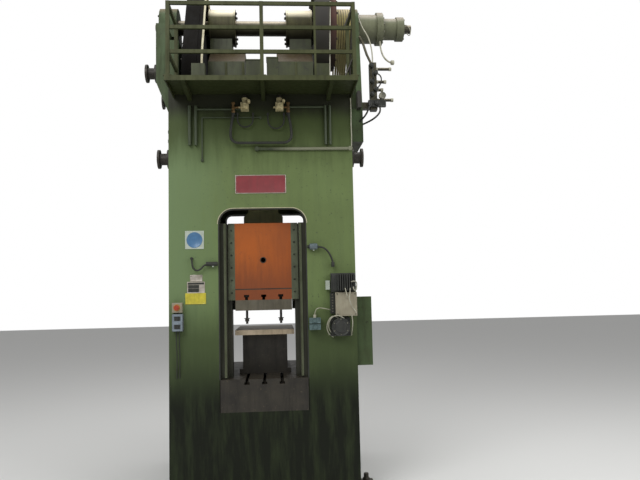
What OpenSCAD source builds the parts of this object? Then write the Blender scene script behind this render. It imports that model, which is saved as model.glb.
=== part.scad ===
// Mechanical stamping press: a welded straight-sided frame, a crank drive on the crown and a guided slide.
// Millimetres. Origin on the floor at the centre of the anchor bolts, +X right, +Y to the rear, +Z up.
// The slide stands at the bottom of its stroke.

/* [Frame] */
// Width of the frame over its outer side plates
frame_w = 1500; // [1480:10:1560]
// Depth of the frame over its front and rear plates
frame_d = 1400; // [1380:10:1500]
// Height of the crown top above the floor
frame_h = 3300; // [3280:10:3400]
// Thickness of the front and rear plates
plate_t = 60; // [50:5:70]
// Thickness of the side plates
side_t = 40; // [30:5:50]
// Clear width between the two inner side plates
inner_w = 900; // [880:10:920]
// Thickness of the crown top plate
crown_t = 40; // [30:5:50]

/* [Windows] */
// Width of the window in the front plate
window_w = 710; // [700:5:740]
// Height of the window's top edge above the floor
window_top = 2300; // [2260:10:2340]
// Height of the window's lower edge above the floor
window_sill = 680; // [640:10:700]
// Radius of the window's upper corners
window_r = 120; // [80:5:150]
// Width of the window in the rear plate
rear_window_w = 800; // [760:10:820]
// Height of the rear window's top edge above the floor
rear_window_top = 2420; // [2340:10:2450]
// Radius of the rear window's upper corners
rear_window_r = 60; // [30:5:120]
// Depth of the strip window in the side plates
strip_window_d = 620; // [500:10:680]
// Height of the strip window's lower edge above the floor
strip_window_sill = 960; // [950:10:1000]
// Height of the strip window itself
strip_window_h = 700; // [500:10:760]
// Corner radius of the strip window
strip_window_r = 70; // [40:5:90]

/* [Feet] */
// Thickness of an anchor foot
foot_t = 50; // [40:5:70]
// Length of a side of an anchor foot
foot_w = 320; // [300:10:360]
// Distance of an anchor hole outside the frame's side
anchor_out = 60; // [55:5:80]
// Distance of an anchor hole inside the frame's front or rear face
anchor_in = 140; // [120:10:160]
// Diameter of an anchor hole
anchor_hole_d = 44; // [30:2:50]

/* [Bed] */
// Height of the bed box
bed_box_h = 380; // [300:10:420]
// Thickness of the walls of the bed box
bed_wall = 40; // [30:5:50]
// Thickness of the bed block under the bolster
bed_block_t = 130; // [110:5:140]
// Thickness of the bolster
bolster_t = 125; // [110:5:140]
// Gap between the bolster and each edge of the window
bolster_side_gap = 5; // [3:1:10]
// Distance between two T-slots, in the bolster and in the slide
slot_pitch = 140; // [120:5:145]
// Width of the mouth of a T-slot
slot_mouth = 24; // [20:1:28]
// Width of the head of a T-slot
slot_head = 42; // [38:1:48]
// Depth of the mouth of a T-slot
slot_mouth_h = 22; // [20:1:28]
// Height of the head of a T-slot
slot_head_h = 20; // [18:1:24]

/* [Tool seat] */
// Width of the riser block
riser_w = 440; // [400:10:480]
// Depth of the riser block
riser_d = 620; // [560:10:700]
// Height of the riser block
riser_h = 330; // [300:10:340]
// Width of the die plate
die_plate_w = 500; // [460:10:510]
// Depth of the die plate
die_plate_d = 760; // [700:10:800]
// Thickness of the die plate
die_plate_t = 42; // [35:1:50]

/* [Slide] */
// Stroke of the slide
stroke = 120; // [100:10:140]
// Width of the slide body
slide_w = 462; // [440:2:480]
// Depth of the slide body
slide_d = 1180; // [1160:10:1190]
// Height of the slide over its lower plate
slide_h = 632; // [600:2:640]
// Height of the slide's lower face above the floor
slide_z = 1562; // [1540:2:1570]
// Thickness of the slide's lower plate
slide_plate_t = 88; // [80:1:100]
// Length of a blind T-slot, cut into the slide's foot plate from the front and from the rear
slide_slot_l = 420; // [300:10:520]
// Wall thickness of the slide body
slide_wall = 45; // [40:1:60]
// Width of a side flange
flange_w = 56; // [50:1:60]
// Thickness of a side flange
flange_t = 30; // [25:1:35]
// Thickness of a wear liner between slide and rail
liner_t = 27; // [20:1:30]
// Running gap between slide and rail
guide_gap = 0.3; // [0.2:0.1:0.5]
// Width of the slide's neck
neck_w = 344; // [330:2:360]
// Depth of the slide's neck
neck_d = 470; // [460:10:500]
// Height of the slide's neck
neck_h = 390; // [380:10:400]
// Thickness of the upper die plate
upper_plate_t = 86; // [70:1:95]
// Depth of the upper die plate
upper_plate_d = 900; // [800:10:1000]
// Length of a hanging T-bolt under the upper die plate
t_bolt_drop = 110; // [90:5:120]
// Diameter of a hanging T-bolt
t_bolt_d = 20; // [16:1:22]

/* [Guide rails] */
// Gap between a guide rail and the inner side plate
rail_side_gap = 30; // [20:1:40]
// Depth of a guide rail behind the side flange
rail_d = 120; // [100:5:140]
// Height of a guide rail's top above the floor
rail_top = 2190; // [2160:10:2240]

/* [Crank drive] */
// Height of the crankshaft above the crown top
crank_rise = 165; // [160:1:180]
// Diameter of the crankshaft's journals
journal_d = 180; // [170:2:190]
// Diameter of the eccentric
eccentric_d = 340; // [330:2:360]
// Width of the connecting rod
rod_w = 200; // [180:5:220]
// Height of the wrist pin above the slide's top
wrist_rise = 286; // [280:2:300]
// Diameter of the wrist pin
wrist_pin_d = 120; // [100:2:130]
// Outer diameter of the rod's small end
small_end_d = 220; // [210:2:230]
// Outer diameter of the rod's big end
big_end_d = 480; // [460:5:500]
// Radial clearance of a running bearing
run_gap = 0.05; // [0.03:0.01:0.08]
// Wall thickness of a main bearing bush
bush_wall = 20; // [15:1:25]
// Gap all round a seated bush
seat_gap = 0.02; // [0.01:0.01:0.04]

/* [Gears] */
// Tooth module of the gears
gear_module = 12; // [11.6:0.1:12.2]
// Number of teeth of the bull gear
bull_teeth = 88; // [84:1:90]
// Number of teeth of the drive pinion
pinion_teeth = 19; // [17:1:20]
// Gap between the gear guard and the side plate on each side of it
guard_side_gap = 48; // [40:1:52]
// Gap between the gears and the guard's walls
gear_side_gap = 12; // [8:1:16]
// Wall thickness of the gear guard
guard_t = 8; // [6:1:10]
// Gap between the bull gear's tips and the guard
guard_gap = 27; // [20:1:30]
// Radius of the guard round the pinion
guard_top_r = 275; // [240:5:290]

/* [Drive shaft] */
// Diameter of the drive shaft
shaft_d = 137; // [120:1:140]
// Diameter of a shaft bearing housing
housing_d = 330; // [310:2:340]
// Length of a shaft bearing housing
housing_l = 240; // [220:5:250]
// Distance of a shaft bearing housing from the middle of the press
housing_x = 356; // [350:1:360]
// Width of a bearing pedestal
pedestal_w = 325; // [310:5:330]
// Depth of a bearing pedestal
pedestal_d = 600; // [560:10:620]
// Height of a pedestal's block above the crown top
pedestal_h = 380; // [340:10:400]
// Distance of a pedestal from the middle of the press
pedestal_x = 305; // [300:1:310]

/* [Flywheel and belts] */
// Diameter of the flywheel
flywheel_d = 860; // [800:10:900]
// Width of the flywheel
flywheel_w = 132; // [120:2:140]
// Gap between the shaft housing and the flywheel
flywheel_gap = 14; // [10:1:20]
// Diameter of the belt sheave
sheave_d = 360; // [340:5:370]
// Width of the belt sheave
sheave_w = 140; // [134:1:150]
// Gap between the clutch cover and the sheave
sheave_gap = 16; // [10:1:20]
// Number of belts
belt_count = 6; // [4:1:6]
// Pitch of the belt grooves
belt_pitch = 22.5; // [21:0.5:23]
// Diameter of the motor's sheave
motor_sheave_d = 174; // [160:2:200]
// Diameter of the motor's case
motor_d = 300; // [260:5:310]
// Length of the motor's case
motor_l = 420; // [360:10:430]
// Distance of the motor's axis behind the drive shaft
motor_y = 500; // [480:5:510]
// Height of the motor's axis above the crown top
motor_rise = 250; // [230:5:260]

/* [Platform] */
// Distance the platform stands out from the front plate
deck_d = 450; // [400:10:500]
// Length of the platform
deck_w = 1464; // [1440:2:1480]
// Shift of the platform's middle to the right
deck_x = 25; // [10:1:30]
// Height of the platform's edge bars
deck_t = 38; // [30:1:50]
// Drop of the platform's top below the crown top
deck_drop = 43; // [30:1:60]
// Distance between two rails of the railing
rail_pitch = 190; // [170:5:220]
// Side of the square bars of the railing
rail_bar = 28; // [20:1:32]

/* [Outriggers] */
// Distance of the left outrigger's outer face from the frame's side
left_out = 140; // [130:5:150]
// Depth of the left outrigger
left_out_d = 960; // [900:10:1000]
// Gap between the sheave and the right outrigger
right_gap = 18; // [8:1:20]
// Thickness of the right outrigger's upright plate
right_out_t = 50; // [40:1:60]
// Depth of the right outrigger
right_out_d = 560; // [500:10:600]

/* [Hidden] */
$fn = 64;

// Small overlap of a cutting tool past the face that it cuts
cut = 1;
// Half sizes of the frame
half_w = frame_w / 2;
half_d = frame_d / 2;
inner_half = inner_w / 2;
inside_d = frame_d - 2 * plate_t;
// Axes of the drive
crank_z = frame_h + crank_rise;
throw = stroke / 2;
eccentric_z = crank_z - throw;
gear_centres = gear_module * (bull_teeth + pinion_teeth) / 2;
shaft_z = crank_z + gear_centres;
shaft_r = shaft_d / 2;
journal_r = journal_d / 2;
bull_r = gear_module * bull_teeth / 2;
tip_h = gear_module;
root_h = 1.25 * gear_module;
guard_r = bull_r + tip_h + guard_gap + guard_t;
disc_x = (inner_half + half_w) / 2;
guard_w = half_w - inner_half - 2 * side_t - 2 * guard_side_gap;
guard_x = -disc_x - guard_w / 2;
gear_w = guard_w - 2 * guard_t - 2 * gear_side_gap;
// Places along the drive shaft
cover_t = 60;
flywheel_x = housing_x + housing_l / 2 + flywheel_gap;
cover_x = flywheel_x + flywheel_w;
sheave_x = cover_x + cover_t + sheave_gap;
right_in_x = sheave_x + sheave_w + right_gap;
// Slide and bed levels
slide_top = slide_z + slide_h;
wrist_z = slide_top + wrist_rise;
bed_box_z = window_sill - bed_box_h;
bolster_z = window_sill + bed_block_t;
bolster_top = bolster_z + bolster_t;
riser_top = bolster_top + riser_h;
bolster_w = window_w - 2 * bolster_side_gap;
slide_front = -slide_d / 2;
rail_front = slide_front + flange_t + guide_gap;
rail_inner = slide_w / 2 + liner_t + guide_gap;
flange_edge = slide_w / 2 + flange_w;
flange_gap = 5;
// Deck levels
deck_top = frame_h - deck_drop;
deck_left = deck_x - deck_w / 2;
front_y = -half_d;

// A bar between two heights, centred on x and y
module block(x0, x1, y0, y1, z0, z1) {
  translate([x0, y0, z0]) cube([x1 - x0, y1 - y0, z1 - z0]);
}

// A round bar along X from x0 to x1
module bar_x(x0, x1, y, z, r) {
  translate([x0, y, z]) rotate([0, 90, 0]) cylinder(r = r, h = x1 - x0);
}

// A round bar along Y from y0 to y1
module bar_y(x, y0, y1, z, r) {
  translate([x, y0, z]) rotate([-90, 0, 0]) cylinder(r = r, h = y1 - y0);
}

// A round bar along Z from z0 to z1
module bar_z(x, y, z0, z1, r) {
  translate([x, y, z0]) cylinder(r = r, h = z1 - z0);
}

// A flat shape drawn in X and Z, pushed along Y from y0 to y1
module along_y(y0, y1) {
  translate([0, y1, 0]) rotate([90, 0, 0]) linear_extrude(y1 - y0) children();
}

// A flat shape drawn in Y and Z, pushed along X from x0 to x1
module along_x(x0, x1) {
  translate([x0, 0, 0]) rotate([90, 0, 90]) linear_extrude(x1 - x0) children();
}

// The same thing on the left and on the right
module both_sides() {
  children();
  mirror([1, 0, 0]) children();
}

// The same thing at the front and at the rear
module both_ends() {
  children();
  mirror([0, 1, 0]) children();
}

// A rectangle with rounded corners, from x0 to x1 and z0 to z1
module round_rect(x0, x1, z0, z1, r) {
  for (x = [x0 + r, x1 - r], z = [z0 + r, z1 - r]) translate([x, z]) circle(r = r);
  translate([x0 + r, z0]) square([x1 - x0 - 2 * r, z1 - z0]);
  translate([x0, z0 + r]) square([x1 - x0, z1 - z0 - 2 * r]);
}

// An arch with two rounded upper corners and a square foot
module arch(w, z0, z1, r) {
  for (x = [-w / 2 + r, w / 2 - r]) translate([x, z1 - r]) circle(r = r);
  translate([-w / 2 + r, z0]) square([w - 2 * r, z1 - z0]);
  translate([-w / 2, z0]) square([w, z1 - z0 - r]);
}

// Two circles with the band between their outer tangents. The first is at [0, 0], the second at [y, z].
module belt_shape(r1, r2, y, z) {
  d = norm([y, z]);
  a = atan2(z, y);
  b = acos((r1 - r2) / d);
  circle(r = r1);
  translate([y, z]) circle(r = r2);
  polygon([
    r1 * [cos(a + b), sin(a + b)],
    r1 * [cos(a - b), sin(a - b)],
    [y, z] + r2 * [cos(a - b), sin(a - b)],
    [y, z] + r2 * [cos(a + b), sin(a + b)]
  ]);
}

// Points of a spur gear with straight-sided teeth. The first tooth is centred on the angle start.
function gear_points(teeth, start, thin) = let (r = gear_module * teeth / 2, step = 360 / teeth)
  [for (k = [0:teeth - 1]) for (p = [
    [-0.36, r - root_h], [-0.25 + thin, r], [-0.115 + thin / 2, r + tip_h],
    [0.115 - thin / 2, r + tip_h], [0.25 - thin, r], [0.36, r - root_h]
  ]) p[1] * [cos(start + (k + p[0]) * step), sin(start + (k + p[0]) * step)]];

// Part of each tooth's pitch that is left free on both flanks
tooth_play = 0.012;

// A round bar between two points
module link(a, b, r) {
  v = b - a;
  translate(a) rotate([0, acos(v[2] / norm(v)), atan2(v[1], v[0])]) cylinder(r = r, h = norm(v), $fn = 16);
}

// A hose through points in X and Z at the depth y
module hose(y, points, r) {
  for (k = [0:len(points) - 2])
    link([points[k][0], y, points[k][1]], [points[k + 1][0], y, points[k + 1][1]], r);
  for (p = points) translate([p[0], y, p[1]]) sphere(r = r + 0.5, $fn = 16);
}

// Points of half a turn of the radius bend that hangs between two points at the same height
function hanging(x, z, bend) = [for (a = [0:30:180]) [x - bend * cos(a), z - bend * sin(a)]];

// Frame

module front_plate() {
  color("seagreen") along_y(-half_d, -half_d + plate_t) difference() {
    translate([-half_w, foot_t]) square([frame_w, frame_h - foot_t]);
    arch(window_w, window_sill, window_top, window_r);
  }
}

module rear_plate() {
  color("seagreen") along_y(half_d - plate_t, half_d) difference() {
    translate([-half_w, foot_t]) square([frame_w, frame_h - foot_t]);
    arch(rear_window_w, window_sill, rear_window_top, rear_window_r);
  }
}

// A side plate from x0 to x1 with the strip window
module side_plate(x0, x1) {
  color("seagreen") along_x(x0, x1) difference() {
    translate([-inside_d / 2, foot_t]) square([inside_d, frame_h - crown_t - foot_t]);
    round_rect(-strip_window_d / 2, strip_window_d / 2, strip_window_sill,
      strip_window_sill + strip_window_h, strip_window_r);
  }
}

module outer_plates() both_sides() side_plate(half_w - side_t, half_w);
module inner_plates() both_sides() side_plate(inner_half, inner_half + side_t);

// Side guard: a bent sheet on the right side, in front of the strip's way out
guard_sheet = 6;
side_guard_w = 130;
side_guard_d = 90;
side_guard_y = front_y + 50;
side_guard_foot = strip_window_sill + 55;
side_guard_h = 555;
side_guard_top = side_guard_foot + side_guard_h;

module side_guard() {
  x1 = half_w + side_guard_w;
  y1 = side_guard_y + side_guard_d;
  color("seagreen") difference() {
    block(half_w, x1, side_guard_y, y1, side_guard_foot, side_guard_top);
    block(half_w + guard_sheet, x1 - guard_sheet, side_guard_y + guard_sheet, y1 + cut,
      side_guard_foot - cut, side_guard_top - guard_sheet);
  }
}

// Room between the connecting rod and the edges of its slot in the crown plate
rod_slot_gap = 18;

module crown_plate() {
  rod_slot_w = rod_w / 2 + rod_slot_gap;
  rod_slot_d = big_end_d / 2 + throw + rod_slot_gap;
  gear_slot_d = guard_r + rod_slot_gap;
  color("seagreen") difference() {
    block(-half_w, half_w, -inside_d / 2, inside_d / 2, frame_h - crown_t, frame_h);
    block(-rod_slot_w, rod_slot_w, -rod_slot_d, rod_slot_d, frame_h - crown_t - cut, frame_h + cut);
    block(guard_x, guard_x + guard_w, -gear_slot_d, gear_slot_d, frame_h - crown_t - cut, frame_h + cut);
  }
}

// Edge of an anchor foot outside the middle of its hole
foot_edge = 70;

module anchor_feet() {
  x0 = half_w + anchor_out + foot_edge - foot_w;
  y_hole = half_d - anchor_in;
  color("darkslategray") both_ends() both_sides() difference() {
    block(x0, x0 + foot_w, y_hole - foot_w / 2, y_hole + foot_w / 2, 0, foot_t);
    bar_z(half_w + anchor_out, y_hole, -cut, foot_t + cut, anchor_hole_d / 2);
  }
}

module bed_box() {
  cell_w = (inner_w - 4 * bed_wall) / 3;
  cell_d = (inside_d - 3 * bed_wall) / 2;
  color("darkolivegreen") difference() {
    block(-inner_half, inner_half, -inside_d / 2, inside_d / 2, bed_box_z, window_sill);
    for (x = [-1, 0, 1], y = [-1, 1])
      translate([x * (cell_w + bed_wall), y * (cell_d + bed_wall) / 2, bed_box_z + bed_box_h / 2 - bed_wall])
        cube([cell_w, cell_d, bed_box_h], center = true);
  }
}

module bed_block() {
  color("dimgray") block(-bolster_w / 2, bolster_w / 2, -half_d, half_d, window_sill, bolster_z);
}

// A T-slot drawn in X and Z, its mouth at the height z. up is 1 for a mouth that looks up, otherwise -1.
module t_slot(z, up) {
  scale([1, up]) translate([0, up * z]) {
    translate([-slot_mouth / 2, -slot_mouth_h]) square([slot_mouth, slot_mouth_h + cut]);
    translate([-slot_head / 2, -slot_mouth_h - slot_head_h]) square([slot_head, slot_head_h]);
  }
}

module bolster() {
  color("dimgray") along_y(-half_d, half_d) difference() {
    translate([-bolster_w / 2, bolster_z]) square([bolster_w, bolster_t]);
    for (k = [-1:1]) translate([k * slot_pitch, 0]) t_slot(bolster_top, 1);
  }
}

// Riser block with a clamp ledge along both sides
ledge_w = 30;
ledge_h = 40;

module riser_block() {
  color("dimgray") along_y(-riser_d / 2, riser_d / 2) {
    translate([-riser_w / 2 + ledge_w, bolster_top]) square([riser_w - 2 * ledge_w, riser_h]);
    translate([-riser_w / 2, bolster_top]) square([riser_w, ledge_h]);
  }
}

// Holes of the die plate: their radius and the distance of their axes from its edges
die_hole_r = 11;
die_hole_in = 50;

module die_plate() {
  top = riser_top + die_plate_t;
  x1 = die_plate_w / 2;
  y1 = die_plate_d / 2;
  color("tan") difference() {
    block(-x1, x1, -y1, y1, riser_top, top);
    both_ends() both_sides()
      bar_z(x1 - die_hole_in, y1 - die_hole_in, riser_top - cut, top + cut, die_hole_r);
  }
}

// Foot of the rear guide rails, which end under the slide
rear_rail_foot = slide_z - 100;

// A guide rail from z up: an L behind the window's edge that the slide's flange and liner run on
module guide_rail(z) {
  outer = inner_half - rail_side_gap;
  inner = flange_edge + flange_gap;
  rear = rail_front + rail_d;
  color("dimgray") translate([0, 0, z]) linear_extrude(rail_top - z)
    polygon([
      [rail_inner, rail_front], [inner, rail_front], [inner, -inside_d / 2], [outer, -inside_d / 2],
      [outer, rear], [rail_inner, rear]
    ]);
}

module guide_rails() {
  both_sides() guide_rail(bolster_top);
  both_sides() mirror([0, 1, 0]) guide_rail(rear_rail_foot);
}

// Lifting spools: lower ones on the frame's sides, upper ones on the left outrigger
spool_r = 78;
spool_neck_r = 48;
spool_l = 97;
spool_flange = 18;
spool_low_z = frame_h - 568;
spool_low_y = half_d - 90;
spool_high_z = frame_h + 230;
spool_high_y = 400;

// A flanged spool that points to -X from x
module spool(x, y, z) {
  bar_x(x - spool_flange, x, y, z, spool_r);
  bar_x(x - spool_l + spool_flange, x - spool_flange, y, z, spool_neck_r);
  bar_x(x - spool_l, x - spool_l + spool_flange, y, z, spool_r);
}

module lifting_spools() {
  color("darkslategray") {
    both_ends() both_sides() spool(-half_w, spool_low_y, spool_low_z);
    both_ends() spool(-half_w - left_out, spool_high_y, spool_high_z);
  }
}

// Drive on the crown

// A pedestal: a block round the crankshaft, sloping shoulders and a web up to the shaft housing
module pedestal() {
  x0 = pedestal_x - pedestal_w / 2;
  x1 = pedestal_x + pedestal_w / 2;
  top = frame_h + pedestal_h;
  web_d = 190;
  shoulder_d = pedestal_d - 30;
  shoulder_h = 150;
  web_x0 = housing_x - housing_l / 2 + 30;
  web_x1 = x1;
  color("seagreen") difference() {
    union() {
      block(x0, x1, -pedestal_d / 2, pedestal_d / 2, frame_h, top);
      along_x(x0, x1) polygon([[-shoulder_d / 2, top], [shoulder_d / 2, top],
        [web_d / 2, top + shoulder_h], [-web_d / 2, top + shoulder_h]]);
      block(web_x0, web_x1, -web_d / 2, web_d / 2, top, shaft_z);
    }
    bar_x(x0 - cut, x1 + cut, 0, crank_z, journal_r + run_gap + bush_wall + seat_gap);
    bar_x(x0 - cut, x1 + cut, 0, shaft_z, housing_d / 2 + seat_gap);
  }
}

module bearing_pedestals() both_sides() pedestal();

// Wall of the bushes in the shaft housings
shaft_bush_wall = 16;

module shaft_housings() {
  bush_r = shaft_r + run_gap + shaft_bush_wall + seat_gap;
  x0 = housing_x - housing_l / 2;
  color("olivedrab") both_sides() difference() {
    bar_x(x0, x0 + housing_l, 0, shaft_z, housing_d / 2);
    bar_x(x0 - cut, x0 + housing_l + cut, 0, shaft_z, bush_r);
  }
}

// A bush from x0 to x1 round a shaft of the radius r
module bush(x0, x1, z, r, wall) {
  difference() {
    bar_x(x0, x1, 0, z, r + run_gap + wall);
    bar_x(x0 - cut, x1 + cut, 0, z, r + run_gap);
  }
}

module bearing_bushes() {
  color("darkgoldenrod") both_sides() {
    bush(pedestal_x - pedestal_w / 2, pedestal_x + pedestal_w / 2, crank_z, journal_r, bush_wall);
    bush(housing_x - housing_l / 2, housing_x + housing_l / 2, shaft_z, shaft_r, shaft_bush_wall);
  }
}

module gear_guard() {
  x1 = guard_x + guard_w;
  color("darkslategray") difference() {
    along_x(guard_x, x1) translate([0, crank_z]) belt_shape(guard_r, guard_top_r, 0, gear_centres);
    along_x(guard_x + guard_t, x1 - guard_t) translate([0, crank_z])
      belt_shape(guard_r - guard_t, guard_top_r - guard_t, 0, gear_centres);
    bar_x(guard_x - cut, x1 + cut, 0, shaft_z, shaft_r + shaft_free);
    bar_x(guard_x + guard_w / 2, x1 + cut, 0, crank_z, journal_r + shaft_free);
  }
}

// Left outrigger: a box bracket on the frame's side that carries the brake
brake_x1 = -half_w - 13;
brake_w = 160;
brake_x0 = brake_x1 - brake_w;
brake_r = 172;
brake_drop = 72;
brake_base_z = shaft_z - brake_drop;
brake_pad_h = 85;
brake_pad_side = 15;
brake_wall = 16;
brake_disc_r = 140;
brake_disc_w = 20;
brake_disc_x = brake_x0 + 41;
brake_disc_gap = 10;
outrigger_top = brake_base_z - brake_pad_h;
outrigger_shelf = 150;
outrigger_in = 50;
outrigger_foot_t = 30;
outrigger_foot_drop = 400;
outrigger_knee_drop = 150;
outrigger_elbow = 130;

module left_outrigger() {
  outer = -half_w - left_out;
  knee = frame_h - outrigger_knee_drop;
  foot = frame_h - outrigger_foot_drop;
  ledge = -half_w - outrigger_in;
  pad_y = brake_r + brake_pad_side;
  gap = brake_disc_gap;
  color("seagreen") difference() {
    union() {
      along_y(-left_out_d / 2, left_out_d / 2) polygon([
        [outer, outrigger_top], [ledge, outrigger_top], [ledge, outrigger_top - outrigger_shelf],
        [outrigger_in - half_w, outrigger_top - outrigger_shelf], [outrigger_in - half_w, frame_h],
        [-half_w, frame_h], [-half_w, foot], [-half_w - outrigger_foot_t, foot],
        [-half_w - outrigger_foot_t, knee], [outer, frame_h + outrigger_elbow]
      ]);
      block(brake_x0, brake_x1, -pad_y, pad_y, outrigger_top, brake_base_z);
    }
    bar_x(brake_disc_x - gap, brake_disc_x + brake_disc_w + gap, 0, shaft_z, brake_disc_r + gap);
  }
}

module brake_housing() {
  rim_y = brake_r + brake_pad_side;
  rim_t = 22;
  color("seagreen") difference() {
    union() {
      bar_x(brake_x0, brake_x1, 0, shaft_z, brake_r);
      block(brake_x0, brake_x1, -brake_r, brake_r, brake_base_z, shaft_z);
      block(brake_x0, brake_x1, -rim_y, rim_y, brake_base_z, brake_base_z + rim_t);
    }
    block(brake_x0 - cut, brake_x1 + cut, -rim_y - cut, rim_y + cut, shaft_z - 2 * brake_r, brake_base_z);
    bar_x(brake_x0 + brake_wall, brake_x1 - brake_wall, 0, shaft_z, brake_r - brake_wall);
    bar_x(brake_x0 - cut, brake_x1 + cut, 0, shaft_z, shaft_r + shaft_free);
  }
}

// Right outrigger: a foot on the frame's side and an upright plate that carries the clutch cylinder
right_foot_drop = 350;
right_foot_h = 300;
right_head_r = 180;

module right_outrigger() {
  x1 = right_in_x + right_out_t;
  z0 = frame_h - right_foot_drop;
  z1 = z0 + right_foot_h;
  half = right_out_d / 2;
  color("seagreen") difference() {
    union() {
      block(half_w, x1, -half, half, z0, z1);
      along_x(right_in_x, x1) {
        polygon([[-half, z1], [half, z1], [right_head_r, shaft_z], [-right_head_r, shaft_z]]);
        translate([0, shaft_z]) circle(r = right_head_r);
      }
    }
    bar_x(right_in_x - cut, x1 + cut, 0, shaft_z, shaft_r + shaft_free);
  }
}

// Clutch cylinder: lengths and radii of its steps, from the outrigger outwards
clutch_steps = [[184, 133], [58, 152], [135, 99], [68, 112]];
clutch_x = right_in_x + right_out_t;
function clutch_start(k) = k == 0 ? clutch_x : clutch_start(k - 1) + clutch_steps[k - 1][0];
clutch_end = clutch_start(len(clutch_steps));
// Radial room round the drive shaft where it passes a wall
shaft_free = 10;
clutch_last = clutch_start(len(clutch_steps) - 1);

module clutch_housing() {
  color("olivedrab") difference() {
    for (k = [0:len(clutch_steps) - 1])
      bar_x(clutch_start(k), clutch_start(k) + clutch_steps[k][0], 0, shaft_z, clutch_steps[k][1]);
    bar_x(clutch_x - cut, clutch_last, 0, shaft_z, shaft_r + shaft_free);
  }
}

// Air union on the clutch cylinder's end
union_l = 78;
union_r = 40;
union_bore_r = 26;
union_floor = 20;

module air_union() {
  color("gray") difference() {
    bar_x(clutch_end, clutch_end + union_l, 0, shaft_z, union_r);
    bar_x(clutch_end + union_floor, clutch_end + union_l + cut, 0, shaft_z, union_bore_r);
  }
}

motor_shaft_r = 28;
motor_end = sheave_x - 80;

module motor_case() {
  x1 = motor_end;
  x0 = x1 - motor_l;
  z = frame_h + motor_rise;
  fins = 18;
  color("steelblue") {
    difference() {
      union() {
        bar_x(x0 + 60, x1 - 20, motor_y, z, motor_d / 2 - 12);
        bar_x(x0, x0 + 70, motor_y, z, motor_d / 2);
        bar_x(x1 - 30, x1, motor_y, z, motor_d / 2);
        for (k = [0:fins - 1]) translate([x0 + 60, motor_y, z]) rotate([k * 360 / fins, 0, 0])
          translate([0, -3, 0]) cube([motor_l - 80, 6, motor_d / 2 - 2]);
      }
      bar_x(x1 - 60, x1 + cut, motor_y, z, motor_shaft_r + run_gap);
    }
    block(x0 + 150, x0 + 280, motor_y - 60, motor_y + 60, z + motor_d / 2 - 14, z + motor_d / 2 + 60);
  }
}

module motor_base() {
  x1 = motor_end;
  x0 = x1 - motor_l;
  color("darkslategray") for (x = [x0 + 5, x1 - 27]) difference() {
    block(x, x + 22, motor_y - 140, motor_y + 140, frame_h, frame_h + motor_rise - 40);
    bar_x(x - cut, x + 22 + cut, motor_y, frame_h + motor_rise, motor_d / 2 + seat_gap);
  }
}

// V-belts round the two sheaves, just clear of the grooves
belt_h = 16;
belt_w = 17;
groove_gap = 0.3;
groove_rest = 5;

module v_belts() {
  z = frame_h + motor_rise - shaft_z;
  r1 = sheave_d / 2;
  r2 = motor_sheave_d / 2;
  first = sheave_x + (sheave_w - (belt_count - 1) * belt_pitch) / 2;
  color("dimgray") for (k = [0:belt_count - 1])
    along_x(first + k * belt_pitch - belt_w / 2, first + k * belt_pitch + belt_w / 2)
      translate([0, shaft_z]) difference() {
        belt_shape(r1, r2, motor_y, z);
        belt_shape(r1 - belt_h, r2 - belt_h, motor_y, z);
      }
}

// A sheave with square grooves, turned round X from x0
module sheave(x0, w, r, bore) {
  first = (w - (belt_count - 1) * belt_pitch) / 2;
  half = belt_w / 2 + groove_gap;
  depth = belt_h + groove_rest;
  translate([x0, 0, 0]) rotate([0, 90, 0]) rotate_extrude() polygon(concat(
    [[bore, 0], [r - 2, 0]],
    [for (k = [0:belt_count - 1], p = [[r - 2, -half], [r - depth, -half], [r - depth, half], [r - 2, half]])
      [p[0], first + k * belt_pitch + p[1]]],
    [[r - 2, w], [bore, w]]
  ));
}

// Flywheel with the recess for the clutch plate, its cover, and the belt sheave bolted to the cover
clutch_recess_r = 280;
clutch_recess_d = 70;
cover_r = 390;
sheave_hub_r = 110;

module flywheel() {
  x0 = flywheel_x;
  x1 = x0 + flywheel_w;
  dish_r = flywheel_d / 2 - 70;
  dish_d = 24;
  color("dimgray") difference() {
    bar_x(x0, x1, 0, shaft_z, flywheel_d / 2);
    bar_x(x0 - cut, x1 + cut, 0, shaft_z, shaft_r + run_gap);
    bar_x(x1 - clutch_recess_d, x1 + cut, 0, shaft_z, clutch_recess_r);
    difference() {
      bar_x(x0 - cut, x0 + dish_d, 0, shaft_z, dish_r);
      bar_x(x0 - 2 * cut, x0 + dish_d + cut, 0, shaft_z, sheave_hub_r + 30);
    }
  }
}

module clutch_cover() {
  color("brown") difference() {
    bar_x(cover_x, cover_x + cover_t, 0, shaft_z, cover_r);
    bar_x(cover_x - cut, cover_x + cover_t + cut, 0, shaft_z, shaft_r + run_gap);
  }
}

module belt_sheave() {
  x1 = cover_x + cover_t;
  bore = shaft_r + run_gap;
  color("dimgray") translate([0, 0, shaft_z]) {
    sheave(sheave_x, sheave_w, sheave_d / 2, bore);
    difference() {
      bar_x(x1, sheave_x, 0, 0, sheave_hub_r);
      bar_x(x1 - cut, sheave_x + cut, 0, 0, bore);
    }
  }
}

module motor_rotor() {
  z = frame_h + motor_rise;
  shaft_in = 50;
  color("dimgray") translate([0, motor_y, z]) {
    sheave(sheave_x, sheave_w, motor_sheave_d / 2, 0);
    bar_x(motor_end - shaft_in, sheave_x, 0, 0, motor_shaft_r);
  }
}

module clutch_plate() {
  free = 20;
  color("saddlebrown") difference() {
    bar_x(cover_x - clutch_recess_d + free, cover_x - free, 0, shaft_z, clutch_recess_r - free);
    bar_x(cover_x - clutch_recess_d, cover_x, 0, shaft_z, shaft_r + seat_gap);
  }
}

// Stub of the shaft outside the brake
nub_r = 35;
nub_l = 55;
shaft_end_gap = 32;

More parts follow.
